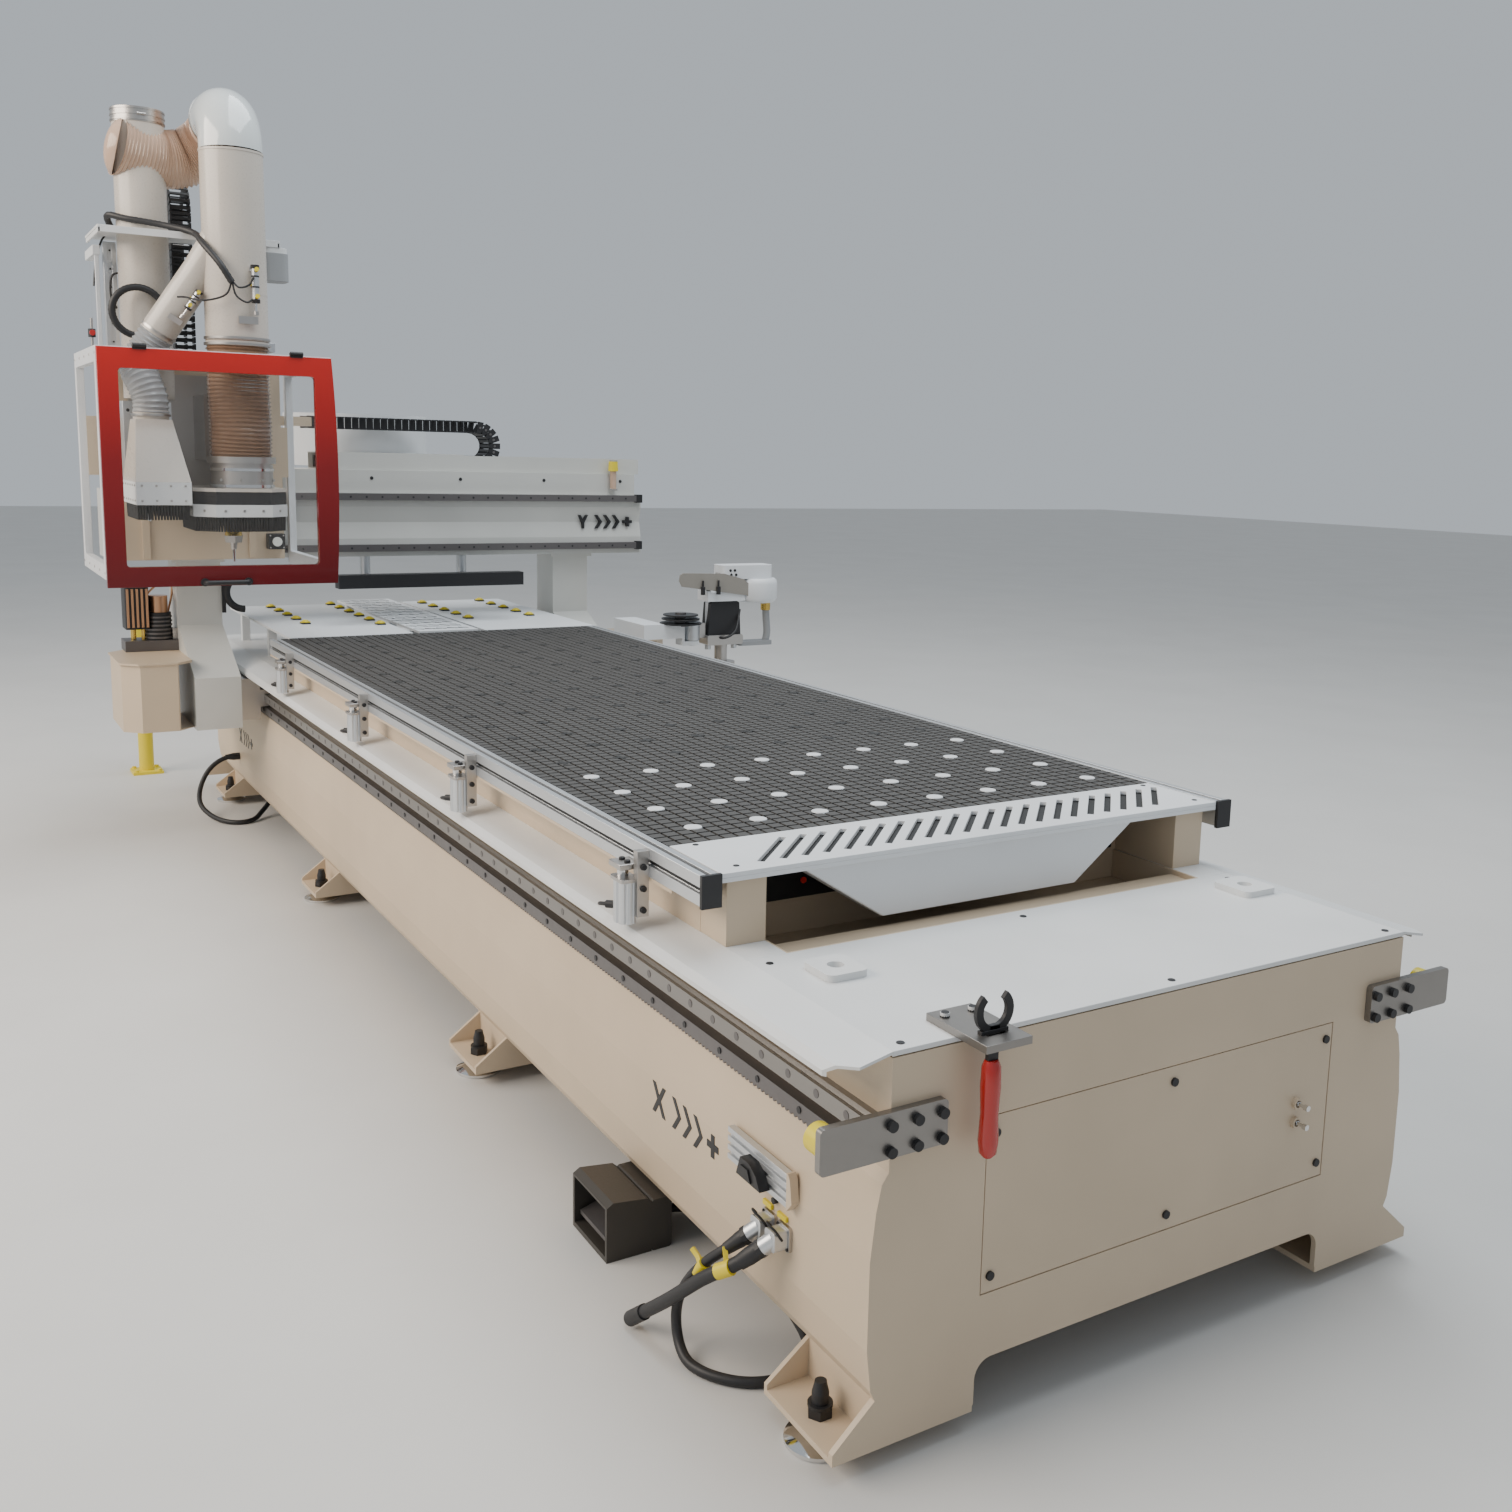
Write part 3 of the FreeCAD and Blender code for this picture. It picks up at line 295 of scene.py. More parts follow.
def studio():
    world = bpy.data.worlds.new("studio")
    world.use_nodes = True
    world.node_tree.nodes["Background"].inputs["Color"].default_value = (0.86, 0.93, 1.0, 1)
    world.node_tree.nodes["Background"].inputs["Strength"].default_value = 0.56
    bpy.context.scene.world = world
    area_light("key", (-0.6, -6.0, 4.2), (0, 0, 0.5), (6, 3), 500, (1.0, 0.88, 0.75))
    area_light("top", (0.3, 1.0, 6.5), (0, 0, 0.7), (7, 4), 440, (0.92, 0.97, 1.0))
    material, nodes, links, shader = new_material("floor_paint")
    vector = coordinates(nodes, links, (1, 1, 1))
    tint = ramp(nodes, links, noise(nodes, links, vector, 1.5),
                [(0.3, (0.60, 0.59, 0.57)), (0.7, (0.64, 0.63, 0.61))])
    links.new(tint, shader.inputs["Base Color"])
    shader.inputs["Roughness"].default_value = 0.55
    mesh = bpy.data.meshes.new("floor")
    mesh.from_pydata([(-30, -30, 0), (30, -30, 0), (30, 30, 0), (-30, 30, 0)], [], [(0, 1, 2, 3)])
    floor = bpy.data.objects.new("floor", mesh)
    mesh.materials.append(material)
    bpy.context.scene.collection.objects.link(floor)


camera()
studio()


# Cords: the routes are those of the CAD model, in millimetres

ROUTES = {
    "cable_pedal": [
        (2157, -612, 236), (2139, -636, 212), (2109, -652, 182), (2082, -664, 148),
        (2057, -669, 109), (2042, -670, 72), (2045, -671, 40), (2064, -674, 18), (2094, -676, 9),
        (2126, -668, 9), (2154, -652, 9), (2182, -626, 9), (2200, -592, 9), (2206, -552, 9),
        (2188, -512, 9), (2146, -482, 9), (2085, -466, 9), (2020, -456, 9), (1955, -451, 9),
        (1890, -442, 9), (1825, -437, 9), (1765, -438, 12), (1712, -450, 20), (1682, -490, 30),
        (1682, -537, 30)],
    "cable_lead": [
        (2201, -612, 236), (2178.5, -642, 206), (2140, -667, 178), (2097, -681, 138),
        (2047, -692, 92), (1988, -700, 45)],
    "cable_far": [
        (-1983, -600, 205), (-1983, -632, 205), (-1980, -690, 165), (-1956, -728, 100),
        (-1880, -745, 50), (-1800, -715, 18), (-1730, -680, 10), (-1690, -632, 9), (-1715, -575, 9),
        (-1775, -540, 20), (-1810, -500, 50), (-1815, -480, 90), (-1815, -480, 117)],
}


def cord(node, name, diameter):
    curve = bpy.data.curves.new(name, "CURVE")
    curve.dimensions = "3D"
    curve.bevel_depth = diameter / 2 * MM
    curve.bevel_resolution = 6
    curve.resolution_u = 12
    curve.use_fill_caps = True
    points = ROUTES[node]
    spline = curve.splines.new("NURBS")
    spline.points.add(len(points) - 1)
    for point, spot in zip(spline.points, points):
        point.co = (*at(*spot), 1)
    spline.order_u = 3
    spline.use_endpoint_u = True
    curve.materials.append(BLACK_PLASTIC)
    piece = bpy.data.objects.new(name, curve)
    bpy.context.scene.collection.objects.link(piece)
    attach(piece, "bed")
    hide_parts(node)
    return piece


cord("cable_pedal", "pedal_cable", 17)
cord("cable_lead", "plug_cable", 22)
cord("cable_far", "far_cable", 18)


# Modelling

class Piece:
    """Collects solids, each with a material, into one object, in machine millimetres."""

    def __init__(self, name):
        self.name = name
        self.mesh = bmesh.new()
        self.materials = []

    def paint(self, faces, material):
        if material not in self.materials:
            self.materials.append(material)
        number = self.materials.index(material)
        for face in faces:
            face.material_index = number

    def loft(self, rings, material, closed=False):
        levels = [[self.mesh.verts.new(at(*spot)) for spot in ring] for ring in rings]
        faces = []
        pairs = list(zip(levels, levels[1:]))
        if closed:
            pairs.append((levels[-1], levels[0]))
        for low, high in pairs:
            for k in range(len(low)):
                after = (k + 1) % len(low)
                faces.append(self.mesh.faces.new((low[k], low[after], high[after], high[k])))
        if not closed:
            faces.append(self.mesh.faces.new(list(reversed(levels[0]))))
            faces.append(self.mesh.faces.new(levels[-1]))
        self.paint(faces, material)

    def box(self, x0, x1, y0, y1, z0, z1, material):
        corners = [(x0, y0), (x1, y0), (x1, y1), (x0, y1)]
        self.loft([[(x, y, z) for x, y in corners] for z in (z0, z1)], material)

    def prism(self, outline, plane, low, high, material, holes=()):
        place = {"x": lambda a, b, level: (level, a, b), "y": lambda a, b, level: (a, level, b),
                 "z": lambda a, b, level: (a, b, level),}[plane]
        loops = [list(outline)] + [list(hole) for hole in holes]
        flat = [Vector((a, b, 0)) for loop in loops for a, b in loop]
        triangles = tessellate_polygon([[Vector((a, b, 0)) for a, b in loop] for loop in loops])
        faces = []
        levels = [[self.mesh.verts.new(at(*place(spot.x, spot.y, level))) for spot in flat]
                  for level in (low, high)]
        for verts in levels:
            faces += [self.mesh.faces.new([verts[k] for k in triangle]) for triangle in triangles]
        first = 0
        for loop in loops:
            for k in range(len(loop)):
                a, b = first + k, first + (k + 1) % len(loop)
                faces.append(
                    self.mesh.faces.new((levels[0][a], levels[0][b], levels[1][b], levels[1][a])))
            first += len(loop)
        self.paint(faces, material)

    def rod(self, start, end, radius, material, end_radius=None, sides=24):
        start, end = Vector(start), Vector(end)
        end_radius = radius if end_radius is None else end_radius
        side, other = across(end - start)
        self.loft([circle(start, side, other, radius, sides),
                   circle(end, side, other, end_radius, sides)], material)

    def ring(self, start, end, radius, bore, material, sides=40):
        start, end = Vector(start), Vector(end)
        side, other = across(end - start)
        spots = ((start, radius), (end, radius), (end, bore), (start, bore))
        self.loft([circle(spot, side, other, size, sides) for spot, size in spots], material, closed=True)

    def tube(self, path, radii, material, sides=24, bore=None):
        """A tube along points; radii is one number or one for each. A bore leaves the ends open."""
        path = [Vector(spot) for spot in path]
        if not hasattr(radii, "__len__"):
            radii = [radii] * len(path)
        frames = travelling_frames(path)
        rings = [circle(spot, a, b, size, sides) for spot, (a, b), size in zip(path, frames, radii)]
        if bore is not None:
            inner = [circle(spot, a, b, size - bore, sides) for spot, (a, b),
                     size in zip(path, frames, radii)]
            self.loft(rings + inner[::-1], material, closed=True)
        else:
            self.loft(rings, material)

    def cable(self, points, steps, radius, material, sides=24):
        self.tube(smooth_path(points, steps), radius, material, sides)

    def screws(self, spots, along, radius, height, material):
        along = Vector(along)
        for spot in spots:
            base = Vector(spot)
            self.rod(base, base + along * height, radius, material, radius * 0.85, 12)

    def build(self, body, slot, replaces=(), bevel=0.0, smooth=35):
        bmesh.ops.recalc_face_normals(self.mesh, faces=self.mesh.faces)
        data = bpy.data.meshes.new(self.name)
        self.mesh.to_mesh(data)
        self.mesh.free()
        for material in self.materials:
            data.materials.append(material)
        data.polygons.foreach_set("use_smooth", [True] * len(data.polygons))
        data.set_sharp_from_angle(angle=math.radians(smooth))
        piece = bpy.data.objects.new(self.name, data)
        bpy.context.scene.collection.objects.link(piece)
        if bevel:
            modifier = piece.modifiers.new("bevel", "BEVEL")
            modifier.width = bevel * MM
            modifier.segments = 2
            modifier.limit_method = "ANGLE"
            modifier.angle_limit = math.radians(50)
        if body:
            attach(piece, body)
        if replaces:
            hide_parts(*replaces)
        return piece


def across(along):
    along = along.normalized()
    helper = Vector((1, 0, 0)) if abs(along.x) < 0.8 else UP
    side = along.cross(helper).normalized()
    return side, along.cross(side)


def circle(centre, side, other, radius, sides):
    turns = [2 * math.pi * k / sides for k in range(sides)]
    return [centre + (side * math.cos(t) + other * math.sin(t)) * radius for t in turns]


def travelling_frames(path):
    frames = []
    side = across(path[1] - path[0])[0]
    for k in range(len(path)):
        along = (path[min(k + 1, len(path) - 1)] - path[max(k - 1, 0)]).normalized()
        side = (side - along * side.dot(along)).normalized()
        frames.append((side, along.cross(side)))
    return frames


def smooth_path(points, steps):
    """Evenly spaced points along a Catmull-Rom curve through the given points."""
    points = [Vector(point) for point in points]
    ends = [points[0] * 2 - points[1]] + points + [points[-1] * 2 - points[-2]]
    dense = []
    for a, b, c, d in zip(ends, ends[1:], ends[2:], ends[3:]):
        for k in range(24):
            t = k / 24
            dense.append(0.5 * (2 * b + (c - a) * t + (2 * a - 5 * b + 4 * c - d) * t * t
                                + (3 * b - 3 * c + d - a) * t ** 3))
    dense.append(points[-1])
    lengths = [0.0]
    for a, b in zip(dense, dense[1:]):
        lengths.append(lengths[-1] + (b - a).length)
    spots = []
    k = 0
    for step in range(steps + 1):
        wanted = lengths[-1] * step / steps
        while k < len(dense) - 2 and lengths[k + 1] < wanted:
            k += 1
        share = (wanted - lengths[k]) / (lengths[k + 1] - lengths[k])
        spots.append(dense[k].lerp(dense[k + 1], min(1.0, share)))
    return spots


def rounded_outline(x0, x1, y0, y1, corner, steps=5):
    spots = []
    for cx, cy, start in ((x1 - corner, y1 - corner, 0), (x0 + corner, y1 - corner, 90),
                          (x0 + corner, y0 + corner, 180), (x1 - corner, y0 + corner, 270)):
        for k in range(steps + 1):
            turn = math.radians(start + 90 * k / steps)
            spots.append((cx + corner * math.cos(turn), cy + corner * math.sin(turn)))
    return spots


def round_hole(x, y, radius, sides=36):
    turns = [2 * math.pi * k / sides for k in range(sides)]
    return [(x + radius * math.cos(turn), y + radius * math.sin(turn)) for turn in turns]


def octagon_outline(x0, x1, y0, y1, corner):
    return [(x0 + corner, y0), (x1 - corner, y0), (x1, y0 + corner), (x1, y1 - corner), (x1 - corner, y1),
            (x0 + corner, y1), (x0, y1 - corner), (x0, y0 + corner)]


def corrugated(piece, points, radius, depth, pitch, material, sides=36, bore=None):
    """A wire-wound hose: the wall dips between the turns of its wire."""
    length = sum((Vector(b) - Vector(a)).length for a, b in zip(points, points[1:]))
    steps = 4 * round(length / pitch)
    path = smooth_path(points, steps)
    dips = (0, -0.7 * depth, -depth, -0.7 * depth)
    piece.tube(path, [radius + dips[k % 4] for k in range(steps + 1)], material, sides, bore)


# Door and cabin of the spindle carriage

def door():
    y0 = ENCLOSURE_LEFT + 1
    y1 = ENCLOSURE_RIGHT - 1
    height = DOOR_HIGH - DOOR_LOW
    edge = []
    for k in range(17):
        part = k / 16
        edge.append((y1 - 4 * part + 13 * (1 - (2 * part - 1) ** 2), DOOR_LOW + height * part))
    outline = [(y0, DOOR_LOW)] + edge + [(y0, DOOR_HIGH)]
    window = rounded_outline(y0 + 58, y1 - 58, DOOR_LOW + 64, DOOR_HIGH - 62, 12)
    frame_piece = Piece("door_frame")
    # The door's red carries painted shade, darker towards the bottom and brighter towards the top.
    frame_piece.prism(outline, "x", DOOR_X - 22, DOOR_X, RED_DOOR_WITH_PAINTED_SHADE, [window])
    lip = rounded_outline(y0 + 50, y1 - 50, DOOR_LOW + 56, DOOR_HIGH - 54, 16)
    frame_piece.prism(lip, "x", DOOR_X - 26, DOOR_X - 22, RUBBER, [window])
    for y in (-1010, -540):
        frame_piece.rod((DOOR_X + 5, y, 1712), (DOOR_X + 5, y + 40, 1712), 7, BLACK_METAL)
        frame_piece.box(DOOR_X - 12, DOOR_X + 5, y, y + 40, 1700, 1716, BLACK_METAL)
    frame_piece.build("door", "red_paint", ["door"], bevel=1.5)
    pane = Piece("door_window")
    pane.prism(rounded_outline(y0 + 52, y1 - 52, DOOR_LOW + 58, DOOR_HIGH - 56, 14), "x", DOOR_X - 14,
               DOOR_X - 9, PANE)
    pane.build("door", "red_paint")
    handle = Piece("door_handle")
    grip = [(DOOR_X, -826, 974), (DOOR_X + 14, -824, 974), (DOOR_X + 24, -815, 974),
            (DOOR_X + 24, -760, 974), (DOOR_X + 24, -703, 974), (DOOR_X + 14, -694, 974),
            (DOOR_X, -692, 974)]
    handle.cable(grip, 40, 8, BLACK_PLASTIC, 16)
    for y in (-826, -692):
        handle.rod((DOOR_X, y, 974), (DOOR_X + 4, y, 974), 13, BLACK_PLASTIC)
    handle.build("door", "black_plastic")


def cabin():
    bars = Piece("cabin_frame")
    panes = Piece("cabin_panes")
    back, front = -1696, DOOR_X - 24
    for y0, y1, outward in ((ENCLOSURE_LEFT, ENCLOSURE_LEFT + 24, -1),
                            (ENCLOSURE_RIGHT - 24, ENCLOSURE_RIGHT, 1)):
        corners = [(back, 985), (front, 985), (front, 1708), (back, 1708)]
        hole = [(back + 40, 1030), (front - 40, 1030), (front - 40, 1660), (back + 40, 1660)]
        bars.prism(corners, "y", y0, y1, WHITE, [hole])
        inner = [(back + 34, 1024), (front - 34, 1024), (front - 34, 1666), (back + 34, 1666)]
        middle = (y0 + y1) / 2
        panes.prism(inner, "y", middle - 2, middle + 2, PANE)
        outer = y0 if outward < 0 else y1
        spots = [(back + 20 + 144 * k, outer, z) for k in range(5) for z in (1006, 1686)]
        bars.screws(spots, (0, outward, 0), 5, 1.5, STEEL)
    bars.box(front - 30, front, ENCLOSURE_LEFT + 24, ENCLOSURE_RIGHT - 24, 1684, 1708, WHITE)
    bars.box(-1680, -1650, ENCLOSURE_LEFT + 24, ENCLOSURE_RIGHT - 24, 1684, 1708, WHITE)
    bars.build("carriage", "white_paint", ["enclosure_frame"], bevel=1.5)
    panes.build("carriage", "white_paint")
    strut = Piece("door_strut")
    strut.rod((-1100, -436, 1640), (-1100, -436, 1470), 9, BLACK_METAL)
    strut.rod((-1100, -436, 1470), (-1100, -436, 1330), 4, CHROME)
    for z in (1640, 1330):
        strut.rod((-1100, -444, z), (-1100, -428, z), 8, BLACK_METAL)
    strut.box(-1112, -1090, -428, -422, 1600, 1680, RED_GLOSS)
    strut.build("carriage", "black_metal", bevel=1)


# Ducts, hoses and their dampers

def elbow_point(turn):
    back = ELBOW_RADIUS * (1 - math.cos(turn))
    return Vector((MAIN_DUCT.x - back, MAIN_DUCT.y, ELBOW_Z + ELBOW_RADIUS * math.sin(turn)))


def ducts():
    piece = Piece("dust_ducts")
    x, y = MAIN_DUCT.x, MAIN_DUCT.y
    piece.ring((x, y, 1735), (x, y, ELBOW_Z - 6), 98, 95, DUCT_PAINT, 56)
    for z, size in ((1737, 104), (1756, 103), (ELBOW_Z - 8, 99.5), (1900, 98.6)):
        piece.ring((x, y, z), (x, y, z + 7), size, 97, STEEL if z < 1800 else DUCT_PAINT, 56)
    bend = [elbow_point(ELBOW_TURN * k / 24) for k in range(25)]
    piece.tube(bend, 98, ELBOW_PLASTIC, 48, bore=3)
    mouth, before = bend[-1], bend[-2]
    along = (mouth - before).normalized()
    piece.ring(mouth - along * 10, mouth - along * 2, 101, 97, STEEL, 48)
    x, y = LEFT_DUCT.x, LEFT_DUCT.y
    piece.ring((x, y, 1560), (x, y, 2450), 80, 78, DUCT_PAINT, 48)
    piece.ring((x, y, 2450), (x, y, 2495), 82, 78, STEEL, 48)
    for z in (2454, 2470, 2488):
        piece.ring((x, y, z), (x, y, z + 5), 84, 80, STEEL, 48)
    piece.rod((x + 84, y - 12, 2472), (x + 84, y + 14, 2472), 4, STEEL)
    piece.build("carriage", "cream_paint", ["ducts"])


def branch():
    piece = Piece("branch_duct")
    along = (BRANCH_END - BRANCH_START).normalized()
    forward = (Vector((1, 0, 0)) - along * along.x).normalized()
    side = forward.cross(along)
    piece.ring(BRANCH_START, BRANCH_END, 55, 52, DUCT_PAINT, 40)
    piece.ring(BRANCH_END - along * 16, BRANCH_END - along * 8, 58, 54, STEEL, 40)
    saddle = [BRANCH_START + along * 10, BRANCH_START + along * 70, BRANCH_START + along * 140]
    piece.tube(saddle, [70, 60, 55.5], DUCT_PAINT, 40)
    centre = BRANCH_START + (BRANCH_END - BRANCH_START) * 0.8
    foot = centre + forward * 68 + side * 26 - along * 50
    air_cylinder(piece, foot, -along, 10, 70, 36)
    x, y = MAIN_DUCT.x, MAIN_DUCT.y
    air_cylinder(piece, Vector((x + 114, y + 40, 1870)), UP, 11, 120, 38)
    piece.box(x + 84, x + 104, y + 26, y + 54, 1972, 1986, ALUMINIUM)
    piece.build("carriage", "cream_paint")


def air_cylinder(piece, foot, along, radius, length, tip):
    piece.rod(foot, foot + along * length, radius, ALUMINIUM)
    for part in (0, 0.9):
        start = foot + along * length * part
        piece.rod(start, start + along * length * 0.1, radius * 1.25, BLACK_METAL, sides=8)
    piece.rod(foot - along * tip, foot, radius / 3, CHROME)
    piece.rod(foot - along * tip, foot - along * (tip - 12), radius * 0.7, STEEL)
    side, other = across(along)
    for part in (0.12, 0.82):
        port = foot + along * length * part
        out = Vector((1, 0, 0.2)).normalized()
        piece.rod(port, port + out * radius * 2.0, radius * 0.45, BLACK_PLASTIC)
        piece.rod(port + out * radius * 2.0, port + out * radius * 2.9, radius * 0.62, YELLOW)
    for part in (0.4, 0.68):
        band = foot + along * length * part
        piece.rod(band, band + along * 5, radius * 1.12, BLACK_PLASTIC)
    tag = foot + along * length * 0.5 + other * radius * 1.6
    piece.rod(tag - side * 12, tag + side * 12, 5, YELLOW, sides=8)


def hoses():
    upper = Piece("crossover_duct")
    points = [elbow_point(ELBOW_TURN), (-1449, -668, 2448), (-1497, -695, 2408), (-1528, -752, 2370),
              (-1526, -826, 2352), (-1508, -900, 2358), (-1494, -972, 2372)]
    corrugated(upper, points, 95, 5, 11, PALE_HOSE, 48, bore=2)
    cap = smooth_path([(-1494, -972, 2372), (-1496, -990, 2376), (-1500, -1006, 2380)], 6)
    upper.tube(cap, [93, 91, 86, 78, 66, 48, 20], PALE_HOSE, 48)
    upper.build("carriage", "hose_bronze", ["crossover_hose"])
    lower = Piece("spindle_hose")
    x, y = MAIN_DUCT.x, MAIN_DUCT.y
    points = [(x, y, 1752), (x, y, 1680), (x - 2, y - 1, 1610), (x, y, 1540), (x + 2, y + 1, 1470),
              (x, y, 1400), (x, y, 1358)]
    corrugated(lower, points, 100, 6, 13, BRONZE_HOSE, 48, bore=2)
    lower.build(None, "hose_bronze")
    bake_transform(bpy.data.objects["spindle_hose"])
    clear = Piece("drill_hose")
    points = [BRANCH_END - (BRANCH_END - BRANCH_START).normalized() * 12, (-1346, -936, 1708),
              (-1330, -962, 1660), (-1296, -950, 1610), (-1281, -936, 1560), (-1280, -935, 1500)]
    corrugated(clear, points, 57, 5, 15, CLEAR_HOSE, 36, bore=2)
    clear.build(None, "hose_clear", ["boring_hose"])
    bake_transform(bpy.data.objects["drill_hose"])


# Hoods round the spindle and the drills

def hood_band(piece, outline_box, inset, thick, z0, z1, material, corner=60):
    x0, x1, y0, y1 = outline_box
    outer = octagon_outline(x0 + inset, x1 - inset, y0 + inset, y1 - inset, corner)
    wall = inset + thick
    inner = octagon_outline(x0 + wall, x1 - wall, y0 + wall, y1 - wall, corner - 2)
    piece.prism(outer, "z", z0, z1, material, [inner])


def bristles(piece, outline_box, z0, z1, corner=60):
    """Two staggered rows of tapered tufts round a hood's lower edge."""
    x0, x1, y0, y1 = outline_box
    for inset, shift in ((8, 0.0), (14, 0.5)):
        outline = octagon_outline(x0 + inset, x1 - inset, y0 + inset, y1 - inset, corner)
        for a, b in zip(outline, outline[1:] + outline[:1]):
            a, b = Vector((*a, 0)), Vector((*b, 0))
            count = max(1, round((b - a).length / 9))
            for k in range(count):
                spot = a.lerp(b, (k + shift) / count)
                piece.rod((spot.x, spot.y, z1), (spot.x, spot.y, z0), 4.8, RUBBER, 3.0, 6)


def hood_screws(piece, outline_box, z, material, spacing=62):
    x0, x1, y0, y1 = outline_box
    outline = octagon_outline(x0, x1, y0, y1, 60)
    for a, b in zip(outline, outline[1:] + outline[:1]):
        a, b = Vector((*a, 0)), Vector((*b, 0))
        along = (b - a).normalized()
        out = along.cross(UP)
        count = max(1, round((b - a).length / spacing))
        spots = [(spot.x, spot.y, z) for spot in (a.lerp(b, (k + 0.5) / count) for k in range(count))]
        piece.screws(spots, out, 4.5, 2.5, material)


def spindle_hood():
    piece = Piece("spindle_hood")
    x, y = MAIN_DUCT.x, MAIN_DUCT.y
    piece.prism(octagon_outline(*HOOD, 60), "z", 1262, 1273, DUCT_PAINT, [round_hole(x, y, 93)])
    piece.ring((x, y, 1273), (x, y, 1351), 98, 93, STEEL, 48)
    for z in (1276, 1330):
        piece.ring((x, y, z), (x, y, z + 9), 102, 97, CHROME, 48)
    piece.screws([(x + 100 * math.cos(t), y + 100 * math.sin(t), 1300) for t in (-0.9, -0.2, 0.5, 1.2)],
                 (1, 0, 0), 5, 6, STEEL)
    hood_band(piece, HOOD, 2, 8, 1220, 1262, BLACK_METAL)
    hood_band(piece, HOOD, -1, 8, 1180, 1220, PALE)
    hood_screws(piece, (HOOD[0] - 1, HOOD[1] + 1, HOOD[2] - 1, HOOD[3] + 1), 1200, STEEL)
    bristles(piece, HOOD, 1132, 1180)
    piece.build("hood", "steel", ["dust_hood"])


def drill_hood():
    piece = Piece("drill_hood")
    x0, x1, y0, y1 = DRILL_HOOD
    low = [(x0, y0, 1291), (x1, y0, 1291), (x1, y1, 1291), (x0, y1, 1291)]
    high = [(-1340, -990, 1490), (-1220, -990, 1490), (-1220, -880, 1490), (-1340, -880, 1490)]
    piece.loft([low, high], DUCT_PAINT)
    piece.ring((-1280, -935, 1484), (-1280, -935, 1519), 54, 50, DUCT_PAINT, 36)
    piece.ring((-1280, -935, 1500), (-1280, -935, 1508), 60, 53, STEEL, 36)
    piece.prism([(x0, y0), (x1, y0), (x1, y1), (x0, y1)], "z", 1218, 1291, PALE,
                [[(x0 + 5, y0 + 5), (x1 - 5, y0 + 5), (x1 - 5, y1 - 5), (x0 + 5, y1 - 5)]])
    for z in (1232, 1280):
        piece.screws([(x1, y0 + 18 + 43 * k, z) for k in range(4)], (1, 0, 0), 4, 2.5, STEEL)
        piece.screws([(x0 + 20 + 52 * k, y0, z) for k in range(6)], (0, -1, 0), 4, 2.5, STEEL)
    bristles(piece, DRILL_HOOD, 1170, 1218, 20)
    piece.box(-1560, -1430, -1000, -850, 1225, 1550, ALUMINIUM)
    piece.box(-1611, -1560, -960, -880, 1225, 1550, STEEL)
    for k in range(3):
        spot = (-1530 + 32 * k, -925)
        piece.rod((*spot, 1225), (*spot, 1190), 10, STEEL)
        piece.rod((*spot, 1190), (*spot, 1150), 5, CHROME, 3)
    piece.screws([(-1430, y, z) for y in (-985, -865) for z in (1320, 1420, 1520)], (1, 0, 0), 6,
                 4, BLACK_METAL)
    piece.build("boring", "steel", ["boring_head"], bevel=0.8)


def spindle():
    piece = Piece("spindle_nose")
    x, y = -1400, -672
    piece.rod((x, y, 1150), (x, y, 1138), 30, CHROME)
    piece.rod((x, y, 1138), (x, y, 1104), 24, BRASS, 29)
    piece.rod((x, y, 1104), (x, y, 1080), 31, STEEL, 27, 8)
    piece.rod((x, y, 1080), (x, y, 1056), 12, STEEL, 9)
    piece.rod((x, y, 1056), (x, y, 1014), 6, CHROME, 5)
    piece.rod((x, y, 1150), (x, y, 1400), 19, STEEL)
    piece.build("spindle", "steel", ["spindle_tool"])
    lamp = Piece("work_lamp")
    lamp.box(-1650, -1604, -514, -456, 1040, 1096, BLACK_PLASTIC)
    lamp.rod((-1604, -485, 1068), (-1596, -485, 1068), 17, LAMP)
    lamp.screws([(-1604, yy, z) for yy in (-508, -462) for z in (1046, 1090)], (1, 0, 0), 3, 2, STEEL)
    lamp.build("carriage", "black_plastic", bevel=2)


# Tower above the carriage

def z_chain(piece):
    """Link plates of the vertical cable chain, laid along its run."""
    path = [Vector((-1634, -768, z)) for z in range(1712, 2200, 24)]
    path += [Vector((-1720 + 86 * math.cos(t), -768, 2200 + 86 * math.sin(t)))
             for t in [math.pi * k / 12 for k in range(13)]]
    path += [Vector((-1806, -768, z)) for z in range(2176, 1712, -24)]
    chain_links(piece, path, Vector((0, 1, 0)), 34, 23)


def chain_links(piece, path, side, half_width, half_height, gap=0.0):
    """Side plates, bars and pins of each link. A gap leaves the front open for a sliding arm."""
    for a, b in zip(path, path[1:]):
        along = (b - a).normalized()
        up = side.cross(along)
        stretch = (b - a) * 0.06
        start, end = a + stretch, b - stretch
        plates = [(-half_width + 3, -half_height, half_height),
                  (half_width - 3, -half_height, half_height)]
        if gap:
            plates[1:] = [(half_width - 3, -half_height, -gap), (half_width - 3, gap, half_height)]
        for offset, low, high in plates:
            corners = []
            for spot in (start, end):
                corners.append([spot + side * (offset + s * 3) + up * level for s,
                                level in ((-1, low), (1, low), (1, high), (-1, high))])
            piece.loft(corners, BLACK_PLASTIC)
        for u in (-1, 1):
            middle = (start + end) / 2
            corners = []
            for shift in (-along * 5, along * 5):
                corners.append([middle + shift + side * (half_width - 5) * s + up * (
                    half_height - 3 + 2 * v) * u for s, v in ((-1, 0), (1, 0), (1, 1), (-1, 1))])
            piece.loft(corners, BLACK_PLASTIC)
        if gap:
            continue
        pin = (start + end) / 2
        piece.rod(pin + side * (half_width - 0.5), pin + side * (half_width + 1.5), 5,
                  DARK_STEEL, sides=10)


